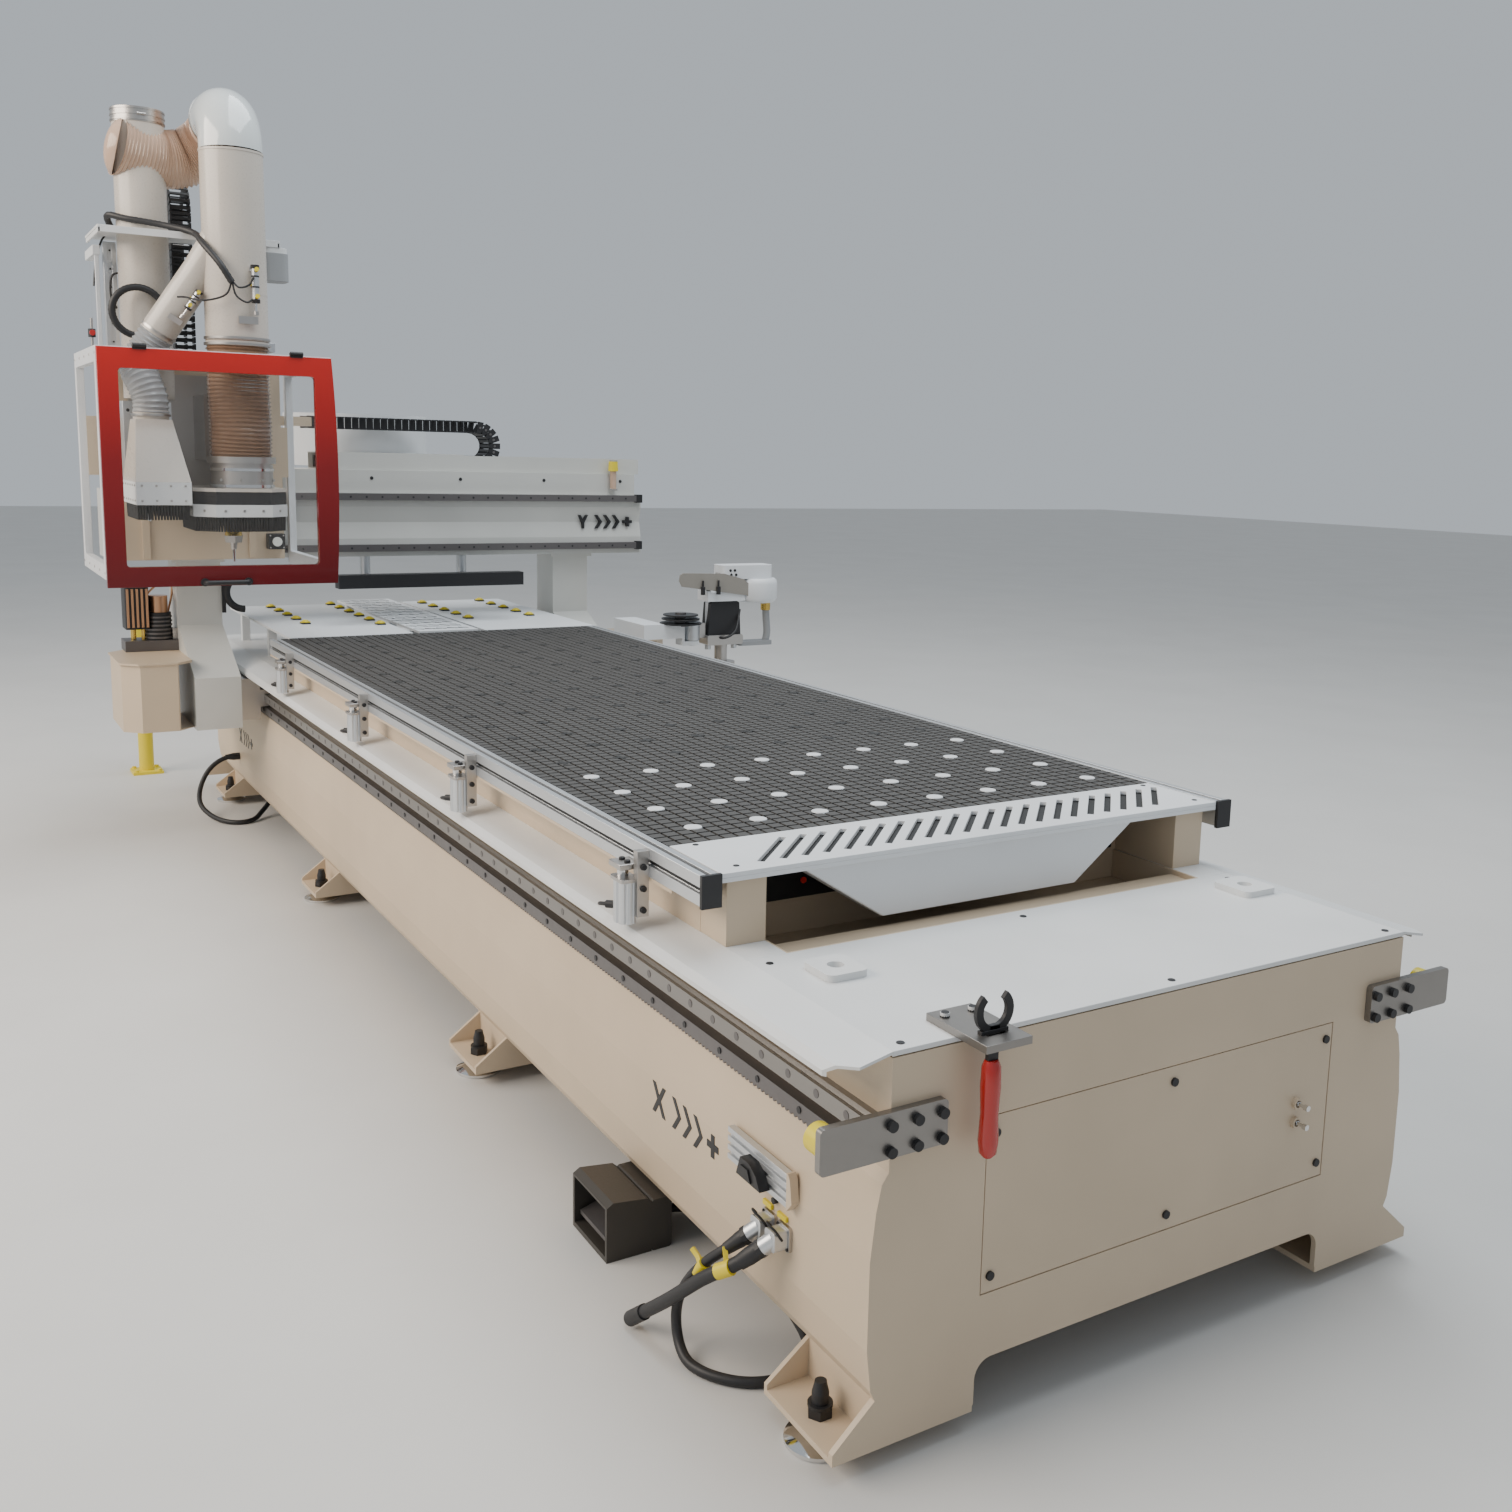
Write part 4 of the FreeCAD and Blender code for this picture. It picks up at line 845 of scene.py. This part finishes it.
def tower():
    piece = Piece("tower_frame")
    for y in (-1017, -540):
        outline = [(-1640, y), (-1600, y), (-1600, y + 14), (-1606, y + 14), (-1606, y + 26),
                   (-1600, y + 26), (-1600, y + 40), (-1640, y + 40)]
        piece.prism(outline, "z", 1680, 2078, ALUMINIUM)
        piece.box(-1680, -1600, y, y + 40, 1680, 1686, ALUMINIUM)
        piece.screws([(-1600, y + 20, 1690 + 60 * k) for k in range(7)], (1, 0, 0), 3.5, 0.5, BLACK_METAL)
    hole = round_hole(LEFT_DUCT.x, LEFT_DUCT.y, 80.5)
    slot = [(-1689, -830), (-1595, -830), (-1595, -700), (-1689, -700)]
    piece.prism([(-1690, -1060), (-1340, -1060), (-1340, -500), (-1690, -500)], "z", 2092, 2100,
                PALE, [hole, slot])
    for y in (-1058, -508):
        piece.box(-1690, -1340, y, y + 6, 2078, 2092, PALE)
    piece.box(-1346, -1340, -1060, -500, 2078, 2092, PALE)
    cup = rounded_outline(-1440, -1340, -560, -470, 26)
    piece.prism(cup, "z", 1968, 2060, GREY_PLASTIC)
    piece.prism(rounded_outline(-1437, -1343, -557, -473, 26), "z", 2060, 2078, PALE)
    for y in (-917, -552):
        piece.box(-1600, -1590 if y < -800 else -1333, y, y + 24, 1730, 1760, ALUMINIUM)
    z_chain(piece)
    piece.build("carriage", "aluminium", ["tower"], bevel=0.8)


def loom(name, points, radius, sides=14):
    piece = Piece(name)
    path = smooth_path(points, 90)
    piece.tube(path, [radius + (0.9 if k % 2 else 0.0) for k in range(len(path))], BLACK_PLASTIC, sides)
    return piece


def tower_cables():
    piece = loom("cable_loom",
                 [(-1560, -990, 2110), (-1500, -1010, 2150), (-1440, -960, 2138), (-1380, -850, 2120),
                  (-1300, -780, 2095), (-1190, -770, 2050), (-1130, -735, 1990), (-1118, -700, 1930)], 10)
    for points in (((-1118, -700, 1935), (-1110, -680, 1915), (-1108, -650, 1925), (-1110, -635, 1950)),
                   ((-1118, -700, 1935), (-1125, -720, 1890), (-1150, -780, 1870), (-1200, -830, 1880),
                    (-1215, -850, 1880)),
                   ((-1118, -700, 1935), (-1112, -690, 1890), (-1108, -660, 1870), (-1112, -640, 1880)),
                   ((-1560, -990, 2110), (-1600, -1020, 2080), (-1620, -1040, 2000),
                    (-1600, -1050, 1930))):
        piece.cable(points, 30, 3.2, BLACK_PLASTIC, 8)
    piece.build("carriage", "black_plastic")
    ring_points = []
    for k in range(19):
        turn = math.radians(-60 + 18 * k)
        ring_points.append((-1400 - k * 1.2, -942 + 78 * math.cos(turn), 1841 + 78 * math.sin(turn)))
    hose = loom("spare_hose_ring", ring_points + [(-1440, -860, 1750)], 11)
    hose.build("carriage", "black_plastic")
    stand = Piece("air_regulator")
    stand.box(-1560, -1530, -975, -940, 1940, 2010, BLACK_METAL)
    stand.rod((-1530, -957, 1990), (-1516, -957, 1990), 15, BLACK_PLASTIC)
    stand.rod((-1516, -957, 1990), (-1514, -957, 1990), 12, PALE)
    stand.rod((-1545, -957, 1940), (-1545, -957, 1915), 10, RED_GLOSS)
    stand.cable([(-1545, -975, 1975), (-1548, -1000, 1960), (-1560, -1004, 1900), (-1585, -985, 1860)],
                20, 3.5, BLACK_PLASTIC, 8)
    stand.box(-1600, -1560, -965, -950, 1960, 1976, ALUMINIUM)
    stand.build("carriage", "black_metal", bevel=1)
    guard = Piece("tower_side_sheets")
    guard.prism([(-1690, 1712), (-1500, 1712), (-1500, 1980), (-1560, 2030), (-1690, 2030)], "y",
                -1052, -1047, PANE)
    guard.box(-1700, -1480, -1062, -1040, 2020, 2050, WHITE)
    guard.box(-1500, -1484, -1056, -1044, 1708, 2020, WHITE)
    guard.rod((-1250, -1100, 1709), (-1250, -1100, 1800), 4, STEEL)
    guard.rod((-1250, -1100, 1740), (-1250, -1100, 1766), 11, BLACK_PLASTIC)
    guard.rod((-1239, -1100, 1753), (-1228, -1100, 1753), 9, RED_GLOSS)
    guard.build("carriage", "white_paint", bevel=1)


# Gantry

def beam_details():
    piece = Piece("beam_details")
    front = BEAM_FRONT
    for z in (1020, 1216):
        spots = [(front + 24, y, z + 13) for y in range(-970, 1000, 60)]
        piece.screws(spots, (1, 0, 0), 4.5, 0.8, BLACK_METAL)
        for y0, y1 in ((1000, 1026), (-1026, -1000)):
            piece.box(front, front + 26, y0, y1, z - 4, z + 30, BLACK_METAL)
    spots = [(-1742, y, 1300) for y in (-900, -500, -100, 250, 600, 940)]
    piece.screws(spots, (1, 0, 0), 7, 3, BLACK_METAL)
    letter = [(-22, 28), (-11, 28), (0, 8), (11, 28), (22, 28), (5, -4), (5, -28), (-5, -28), (-5, -4)]
    for outline in axis_mark() + [[(a - 52, b) for a, b in letter]]:
        spots = [(820 + a, 1131 + b) for a, b in outline]
        piece.prism(spots, "x", front - 18, front + 0.8, BLACK_METAL)
    piece.rod((-1724, 900, 1268), (-1724, 900, 1342), 13, PALE_HOSE)
    piece.rod((-1724, 900, 1342), (-1724, 900, 1382), 21, YELLOW, 19)
    piece.rod((-1724, 900, 1382), (-1724, 900, 1388), 17, GREY_PLASTIC)
    piece.box(-1731, -1716, 884, 916, 1262, 1270, STEEL)
    piece.build("gantry", "black_metal", bevel=0.5)


def axis_mark():
    """Three chevrons and a plus, the usual mark for the positive way along an axis."""
    shapes = []
    for k in range(3):
        a = 40 * k
        shapes.append([(a, -28), (a + 12, -28), (a + 34, 0), (a + 12, 28), (a, 28), (a + 22, 0)])
    a = 150
    shapes.append([(a - 6, -20), (a + 6, -20), (a + 6, 20), (a - 6, 20)])
    shapes.append([(a - 20, -6), (a - 6, -6), (a - 6, 6), (a - 20, 6)])
    shapes.append([(a + 6, -6), (a + 20, -6), (a + 20, 6), (a + 6, 6)])
    return shapes


def y_chain():
    piece = Piece("cable_chain")
    bend_y = 330
    side = Vector((1, 0, 0))
    upper = [Vector((-1830, y, 1506)) for y in range(-330, bend_y, 28)]
    turn = [Vector((-1830, bend_y + 73 * math.sin(t), 1433 + 73 * math.cos(t)))
            for t in [math.pi * k / 9 for k in range(10)]]
    lower = [Vector((-1830, y, 1360)) for y in range(bend_y - 28, -290, -28)]
    chain_links(piece, upper + turn[:1], side, 60, 23, 18)
    chain_links(piece, turn + lower, side, 60, 23)
    piece.build("chain_bend", "black_plastic", ["y_chain_bend"])


# Table

def table_surface():
    piece = Piece("table_plugs")
    marks = Piece("table_clamp_points")
    for column in range(8):
        y = -468 + 135.4 * column
        for row in range(-16, 4):
            x = 1230 + 153 * row
            if x < -1180:
                continue
            if row >= 0:
                piece.rod((x, y, 759), (x, y, 760.8), 17, WHITE, 16)
            else:
                marks.box(x - 17, x + 17, y - 5, y + 5, 759, 760.4, RUBBER)
                marks.box(x - 5, x + 5, y - 17, y - 5, 759, 760.4, RUBBER)
                marks.box(x - 5, x + 5, y + 5, y + 17, 759, 760.4, RUBBER)
    piece.build("bed", "white_paint")
    marks.build("bed", "black_plastic")
    board = Piece("table_board")
    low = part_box("table_top")[0][2] / MM
    groove_floor = TABLE_TOP - 5
    board.box(TABLE_BACK, TABLE_FRONT, -TABLE_HALF, TABLE_HALF, low, groove_floor, RUBBER)
    rows, columns, gap = 106, 40, 2.6
    step_x, step_y = (TABLE_FRONT - TABLE_BACK) / rows, 2 * TABLE_HALF / columns
    for row in range(rows):
        for column in range(columns):
            x = TABLE_BACK + step_x * row
            y = -TABLE_HALF + step_y * column
            board.box(x + gap, x + step_x - gap, y + gap, y + step_y - gap, groove_floor,
                      TABLE_TOP - 0.4, TABLE_BOARD)
    board.build("bed", "table_board", ["table_top"])


def table_edges():
    piece = Piece("table_side_rails")
    half = [(567, 709), (600, 709), (600, 729), (592, 729), (592, 740), (600, 740), (600, 760),
            (588, 760), (588, 752), (579, 752), (579, 760), (567, 760)]
    for sign in (-1, 1):
        piece.prism([(sign * a, b) for a, b in half], "x", -1219, 1974, ALUMINIUM)
        piece.box(-1219, 1974, *sorted((sign * 591.5, sign * 592.5)), 730, 739, RUBBER)
        piece.box(-1219, 1974, *sorted((sign * 580, sign * 587)), 751.5, 753, RUBBER)
        piece.box(1974, 1982, *sorted((sign * 565, sign * 602)), 706, 762, BLACK_PLASTIC)
    piece.build("bed", "aluminium", ["table_rails"], bevel=0.7)


def apron():
    piece = Piece("apron_plate")
    slots = []
    for k in range(22):
        y = -470 + 43 * k
        slots.append([(1936, y - 6), (1944, y + 4), (1824, y + 118), (1816, y + 108)])
    outline = [(1786, -563), (1977, -563), (1977, 563), (1786, 563)]
    piece.prism(outline, "z", 752, 760, WHITE, slots)
    piece.box(1971, 1977, -563, 563, 744, 752, WHITE)
    piece.prism([(1786, -560), (1970, -560), (1970, 560), (1786, 560)], "z", 744, 751, RUBBER)
    screws = [(x, y, 760) for x in (1800, 1945) for y in (-520, 535)]
    piece.screws(screws, (0, 0, 1), 6, 1.0, BLACK_METAL)
    top = [(1962, -400, 744), (1970, -400, 744), (1970, 340, 744), (1962, 340, 744)]
    low = [(1962, -240, 640), (1970, -240, 640), (1970, 200, 640), (1962, 200, 640)]
    piece.loft([low, top], WHITE)
    back_top = [(1840, -400, 744), (1848, -400, 744), (1848, 340, 744), (1840, 340, 744)]
    back_low = [(1900, -240, 640), (1908, -240, 640), (1908, 200, 640), (1900, 200, 640)]
    piece.loft([back_low, back_top], WHITE)
    for y_top, y_low in ((-400, -240), (340, 200)):
        side_top = [(1844, y_top - 2, 744), (1966, y_top - 2, 744), (1966, y_top + 2, 744),
                    (1844, y_top + 2, 744)]
        side_low = [(1904, y_low - 2, 640), (1966, y_low - 2, 640), (1966, y_low + 2, 640),
                    (1904, y_low + 2, 640)]
        piece.loft([side_low, side_top], WHITE)
    for y0, y1 in ((-545, -470), (470, 545)):
        piece.box(1795, 1960, y0, y1, DECK_TOP, 744, CREAM)
    piece.box(1790, 1796, -470, 470, DECK_TOP, 744, CREAM)
    piece.box(1797, 1799, -455, 455, 636, 735, RUBBER)
    piece.rod((1799, -300, 668), (1803, -300, 668), 6, LAMP_RED)
    piece.build("bed", "white_paint", ["apron"], bevel=0.8)


def deck():
    piece = Piece("deck_sheet")
    piece.box(-2440, 1790, -546, 546, 621, DECK_TOP, PALE)
    piece.box(2030, 2440, -546, 546, 621, DECK_TOP, PALE)
    for y0, y1 in ((-546, -470), (470, 546)):
        piece.box(1790, 2030, y0, y1, 621, DECK_TOP, PALE)
    piece.box(1790, 2030, -470, 470, 566, 570, CREAM)
    for y in (-470, 466):
        piece.box(1790, 2030, y, y + 4, 570, DECK_TOP, CREAM)
    for x in (1790, 2026):
        piece.box(x, x + 4, -466, 466, 570, DECK_TOP, CREAM)
    piece.screws([(x, y, DECK_TOP) for x in (2060, 2420) for y in (-520, 0, 520)], (0, 0, 1), 7,
                 1.2, BLACK_METAL)
    piece.build("bed", "cream_paint", ["deck_plate"], bevel=1)


def locators():
    bodies = Piece("locator_cylinders")
    for x in LOCATORS_X:
        outline = []
        for k in range(40):
            turn = 2 * math.pi * k / 40
            dent = 2.5 if k % 5 == 2 else 0
            outline.append((x + (25 - dent) * math.cos(turn), -630 + (18 - dent) * math.sin(turn)))
        bodies.prism(outline, "z", 626, 700, ALUMINIUM)
        bodies.prism(rounded_outline(x - 26, x + 26, -648, -612, 8), "z", 700, 706, STEEL)
        bodies.box(x + 18, x + 34, -622, -600, 640, 756, STEEL)
        bodies.screws([(x + 34, -611, z) for z in (652, 690, 728)], (1, 0, 0), 6, 5, BLACK_METAL)
        hose = smooth_path([(x - 20, -640, 650), (x - 44, -652, 648), (x - 70, -645, 640),
                            (x - 84, -620, 632)], 20)
        bodies.rod((x - 22, -636, 650), (x - 36, -648, 649), 7, BLACK_PLASTIC)
        bodies.tube(hose, 3.5, BLACK_PLASTIC, 10)
    bodies.build("bed", "aluminium", ["locator_bodies"], bevel=0.5)
    tops = Piece("locator_stops")
    for x in LOCATORS_X:
        tops.rod((x - 8, -630, 690), (x - 8, -630, 720), 10, CHROME)
        tops.box(x - 34, x + 14, -645, -606, 720, 730, STEEL)
        tops.screws([(x - 20, -626, 730), (x + 2, -626, 730)], (0, 0, 1), 6, 5, BLACK_METAL)
    tops.build("locators", "steel", ["locator_plates"], bevel=1)


def balls():
    piece = Piece("ball_transfers")
    for y, x0, count in ((-388, -2230, 5), (-140, -2270, 6), (230, -2210, 5), (490, -2230, 5)):
        for k in range(count):
            x = x0 + 150 * k
            piece.box(x - 24, x + 24, y - 15, y + 15, 760, 765, BLACK_PLASTIC)
            piece.rod((x, y, 765), (x, y, 768), 19, YELLOW)
            steps = [math.radians(90 * s / 5) for s in range(6)]
            rings = [circle(Vector((x, y, 766 + 9 * math.sin(s))), Vector((1, 0, 0)), Vector((0, 1, 0)),
                            max(0.6, 15 * math.cos(s)), 16) for s in steps]
            piece.loft(rings, YELLOW)
    piece.build("bed", "yellow_plastic", ["ball_units"])
    slots = Piece("transfer_slots")
    for row in range(12):
        for column in range(5):
            x = -2400 + 96 * row
            y = -52 + 42 * column
            spots = [(x - 3, y - 15), (x + 6, y - 15), (x + 36, y + 15), (x + 27, y + 15)]
            slots.prism(spots, "z", 759, 760.5, RUBBER)
    slots.build("bed", "black_plastic")


# Bed sides

def rail_details():
    piece = Piece("rail_plugs")
    for sign in (-1, 1):
        for k in range(60):
            x = 2370 - 80 * k
            piece.rod((x, sign * 572.6, 514), (x, sign * 573.6, 514), 7, DARK_STEEL, sides=14)
    piece.build("bed", "steel")
    teeth = Piece("rack_teeth")
    for sign in (-1, 1):
        for k in range(380):
            x = -2404 + 12.4 * k
            teeth.prism([(x, 455.5), (x + 9, 455.5), (x + 6.4, 450.5), (x + 2.6, 450.5)], "y",
                        *sorted((sign * 548, sign * 569)), DARK_STEEL)
    teeth.build("bed", "steel")


def feet():
    piece = Piece("levelling_bolts")
    for x in FEET_X:
        for y in (-586, 586):
            piece.rod((x, y, 18), (x, y, 42), 12, CHROME)
            piece.rod((x, y, 42), (x, y, 57), 20, BLACK_METAL, sides=6)
            piece.rod((x, y, 57), (x, y, 62), 19, BLACK_METAL)
            piece.rod((x, y, 62), (x, y, 78), 13, BLACK_METAL)
            piece.rod((x, y, 78), (x, y, 90), 13, BLACK_METAL, 10)
            piece.rod((x, y, 90), (x, y, 96), 10, BLACK_METAL, 9)
            profile = ((0, 51), (3, 53), (8, 53), (11, 46), (20, 20), (24, 18), (31, 18))
            rings = [circle(Vector((x, y, z)), Vector((1, 0, 0)), Vector((0, 1, 0)), size, 40) for z,
                     size in profile]
            piece.loft(rings, CHROME)
    piece.build("bed", "chrome", ["levelling_feet"])


def side_fittings():
    piece = Piece("side_rail_and_sockets")
    profile = [(-573, 312), (-585, 312), (-585, 321), (-579, 321), (-579, 327), (-585, 327), (-585, 336),
               (-579, 336), (-579, 342), (-585, 342), (-585, 351), (-579, 351), (-579, 357), (-585, 357),
               (-585, 366), (-573, 366)]
    piece.prism(profile, "x", 2050, 2236, ALUMINIUM)
    piece.prism([(2236, 308), (2252, 326), (2246, 362), (2240, 370), (2236, 370)], "y", -587, -573, CREAM)
    piece.prism([(2110, 318), (2185, 318), (2172, 338), (2150, 350), (2122, 350)], "y", -603,
                -585, BLACK_METAL)
    piece.prism([(2122, 322), (2160, 322), (2150, 340), (2128, 340)], "y", -606, -603, BLACK_METAL)
    piece.rod((2186, -573, 300), (2186, -580, 300), 6, BLACK_METAL, sides=6)
    for x in (2172, 2216):
        z = 256
        piece.prism(rounded_outline(x - 19, x + 19, z - 20, z + 20, 5), "y", -579, -573, STEEL)
        piece.prism(rounded_outline(x - 15, x + 15, z - 16, z + 16, 6), "y", -602, -579, ALUMINIUM)
        start = Vector((x, -592, z))
        piece.rod(start, start + SOCKET_EXIT * 24, 14, ALUMINIUM)
        piece.rod(start + SOCKET_EXIT * 24, start + SOCKET_EXIT * 32, 15, BLACK_PLASTIC, sides=10)
        clip = [(x - 17, -590, z + 12), (x - 12, -600, z + 24), (x + 2, -606, z + 28),
                (x + 14, -600, z + 20), (x + 17, -590, z + 4)]
        piece.cable(clip, 20, 2, BLACK_METAL, 8)
        piece.screws([(x - 14, -579, z + 15), (x + 14, -579, z - 15)], (0, -1, 0), 3, 2, BLACK_METAL)
        piece.box(x - 20, x + 6, -578, -573, z + 24, z + 32, YELLOW)
    piece.rod((-1983, -573, 205), (-1983, -600, 205), 14, BLACK_PLASTIC, sides=8)
    piece.box(-1845, -1785, -551, -440, 117, 125, STEEL)
    letter = [(-26, 28), (-14, 28), (0, 8), (14, 28), (26, 28), (7, 0), (26, -28), (14, -28), (0, -8),
              (-14, -28), (-26, -28), (-7, 0)]
    for outline in axis_mark() + [[(a - 52, b) for a, b in letter]]:
        piece.prism([(1828 + a, 296 + b) for a, b in outline], "y", -574, -562, BLACK_METAL)
        piece.prism([(-1890 + a, 296 + b) for a, b in outline], "y", -574, -562, BLACK_METAL)
    piece.build("bed", "aluminium", ["side_fittings"], bevel=0.5)


def hook_spanner():
    bracket = Piece("spanner_bracket")
    hole = [(2463, -417), (2483, -417), (2483, -383), (2463, -383)]
    bracket.prism([(2371, -440.5), (2510.5, -440.5), (2510.5, -359.5), (2371, -359.5)], "z", DECK_TOP,
                  640.6, ROLLED_STEEL, [hole])
    bracket.screws([(2395, y, 640.6) for y in (-425, -375)], (0, 0, 1), 7.5, 7, BLACK_METAL)
    bracket.build("bed", "steel", bevel=0.4)
    piece = Piece("spanner_and_grip")
    jaw = []
    for k in range(25):
        turn = math.radians(40 + 280 * k / 24)
        jaw.append((-400 + 33 * math.sin(turn), 672 + 33 * math.cos(turn)))
    for k in range(24, -1, -1):
        turn = math.radians(40 + 280 * k / 24)
        jaw.append((-400 + 21 * math.sin(turn), 672 + 21 * math.cos(turn)))
    piece.prism(jaw, "x", 2469, 2477, BLACK_METAL)
    piece.box(2469, 2477, -409, -391, 600, 652, BLACK_METAL)
    piece.box(2468, 2478, -424, -376, 640, 646, BLACK_METAL)
    path = [(2473, -400, z) for z in (600, 590, 560, 520, 480, 462, 455)]
    piece.tube(path, [10, 14, 15, 13, 15, 13, 7], RED_GLOSS, 20)
    piece.build("spanner", "red_grip", ["hook_spanner"], bevel=1)


# Units beside the gantry

def drive_unit():
    piece = Piece("lubrication_unit")
    piece.box(-1905, -1785, -985, -806, 661, 700, DARK_STEEL)
    piece.rod((-1830, -866, 700), (-1830, -866, 800), 44, BLACK_METAL)
    for k in range(6):
        piece.rod((-1830, -866, 706 + 15 * k), (-1830, -866, 712 + 15 * k), 47, DARK_STEEL)
    piece.rod((-1830, -866, 800), (-1830, -866, 861), 34, COPPER)
    for y in (-950, -915, -830):
        piece.rod((-1840, y, 700), (-1840, y, 742), 9, BRASS)
        piece.cable([(-1840, y, 742), (-1850, y, 790), (-1880, y + 20, 860), (-1900, -800, 940)],
                    24, 4, COPPER, 8)
    piece.prism(rounded_outline(-1900, -1786, -980, -900, 10), "z", 742, 900, BLACK_METAL)
    for k in range(5):
        piece.box(-1786, -1780, -976 + 16 * k, -968 + 16 * k, 750, 890, COPPER)
    steps = [math.radians(180 * k / 20) for k in range(21)]
    arch = [(-1773, -573 - 63 * math.sin(s), 870 + 63 * math.cos(s)) for s in steps]
    piece.tube(arch, 13, BLACK_PLASTIC, 16)
    piece.box(-1780, -1766, -653, -640, 796, 944, BLACK_METAL)
    piece.box(-1850, -1810, -822, -806, 700, 740, STEEL)
    piece.box(-1965, -1935, 950, 980, 1330, 1352, PALE)
    piece.rod((-1950, 950, 1341), (-1950, 924, 1341), 9, YELLOW)
    piece.build("gantry", "black_metal", ["gantry_fittings"], bevel=1)


def applicator():
    piece = Piece("applicator_head")
    x = -1245
    piece.prism(rounded_outline(1084, 1246, 660, 700, 8), "x", x - 40, x + 40, STEEL)
    piece.prism([(1090, 700), (1240, 700), (1232, 830), (1180, 860), (1100, 830)], "x", x - 30,
                x + 30, BLACK_METAL)
    for y in (1105, 1225):
        piece.rod((x, y, 640), (x, y, 876), 12, ALUMINIUM)
        piece.rod((x, y, 876), (x, y, 896), 9, BLACK_METAL)
    piece.prism([(1080, 838), (1250, 838), (1250, 872), (1236, 880), (1110, 872), (1080, 880)], "x",
                x - 45, x + 45, WHITE)
    piece.box(x - 18, x + 18, 1040, 1084, 690, 750, STEEL)
    piece.ring((x, 1030, 682), (x, 1030, 758), 34, 18.2, ALUMINIUM)
    drum = ((826, 62), (834, 78), (846, 85), (906, 85), (918, 82), (926, 74))
    turned = [circle(Vector((x, 1328, z)), Vector((1, 0, 0)), Vector((0, 1, 0)), size, 40)
              for z, size in drum]
    piece.loft(turned, WHITE)
    piece.prism(rounded_outline(x - 46, x + 46, 1148, 1378, 14), "z", 926, 982, WHITE)
    piece.screws([(x + 46, y, z) for y, z in ((1180, 962), (1200, 962), (1184, 944), (1206, 944))],
                 (1, 0, 0), 6, 3, BLACK_METAL)
    piece.cable([(x, 1372, 826), (x, 1376, 760), (x + 2, 1380, 700), (x, 1372, 655)], 16,
                15, GREY_PLASTIC)
    piece.rod((x, 1372, 792), (x, 1372, 824), 20, BRASS)
    piece.prism(rounded_outline(x - 30, x + 30, 1240, 1392, 10), "z", 650, 668, GREY_PLASTIC)
    cover = [(948, 925), (952, 948), (965, 956), (1150, 950), (1240, 926), (1262, 908), (1262, 858),
             (1240, 862), (960, 902)]
    piece.prism(cover, "x", x + 46, x + 52, TAUPE)
    for y in (1050, 1120):
        piece.rod((x + 58, y, 868), (x + 58, y, 900), 9, BLACK_METAL)
        piece.rod((x + 58, y, 900), (x + 58, y, 925), 4, BLACK_METAL)
    for z in (750, 768, 784):
        piece.rod((x + 10, 976, z), (x + 10, 976, z + 5), 84 - (z - 750) * 0.4, BLACK_METAL, sides=36)
    piece.rod((x + 10, 976, 740), (x + 10, 976, 796), 22, DARK_STEEL)
    piece.cable([(x, 1130, 700), (x + 55, 1150, 690), (x + 60, 1200, 720), (x + 20, 1240, 800)], 24, 5,
                BLACK_PLASTIC, 8)
    piece.build("applicator", "aluminium", ["applicator_housing"], bevel=1)


def strain_reliefs():
    tags = Piece("cord_tags")
    for spot, along, size in (((2101, -656, 168), (-0.55, -0.15, -0.80), 10.5),
                              ((2166, -651, 197), (-0.72, -0.48, -0.5), 12.5)):
        spot = Vector(spot)
        along = Vector(along).normalized()
        tags.rod(spot - along * 14, spot + along * 14, size, YELLOW)
        side, other = across(along)
        tags.tube([spot, spot + other * 18, spot + other * 34 + side * 6], [5, 5, 5], YELLOW, 4)
    tags.build("bed", "yellow_plastic")
    piece = Piece("cord_strain_reliefs")
    for spot, small, large in (((2157, -612, 236), 9.2, 13), ((2201, -612, 236), 11.6, 14)):
        start = Vector(spot)
        radii = [large, large, small + 2.5, small + 1.5, small + 0.6]
        piece.tube([start, start + SOCKET_EXIT * 8, start + SOCKET_EXIT * 16, start + SOCKET_EXIT * 26,
                    start + SOCKET_EXIT * 36], radii, BLACK_PLASTIC, 20)
    for spot, along in (((-1983, -600, 205), Vector((0, -1, 0))),
                        ((-1815, -480, 117), Vector((0, 0, -1)))):
        start = Vector(spot)
        piece.tube([start, start + along * 8, start + along * 16, start + along * 26],
                   [13, 12, 10.4, 9.6], BLACK_PLASTIC, 20)
    start = Vector((1682, -537, 30))
    piece.tube([start, start + Vector((0, 14, 0)), start + Vector((0, 28, 0))], [13, 10.8, 9.2],
               BLACK_PLASTIC, 20)
    piece.build("bed", "black_plastic")


for make in (door, cabin, ducts, branch, hoses, spindle_hood, drill_hood, spindle, tower, tower_cables,
             beam_details, y_chain, table_surface, table_edges, apron, deck, locators, balls,
             rail_details, feet, side_fittings, hook_spanner, drive_unit, applicator, strain_reliefs):
    make()
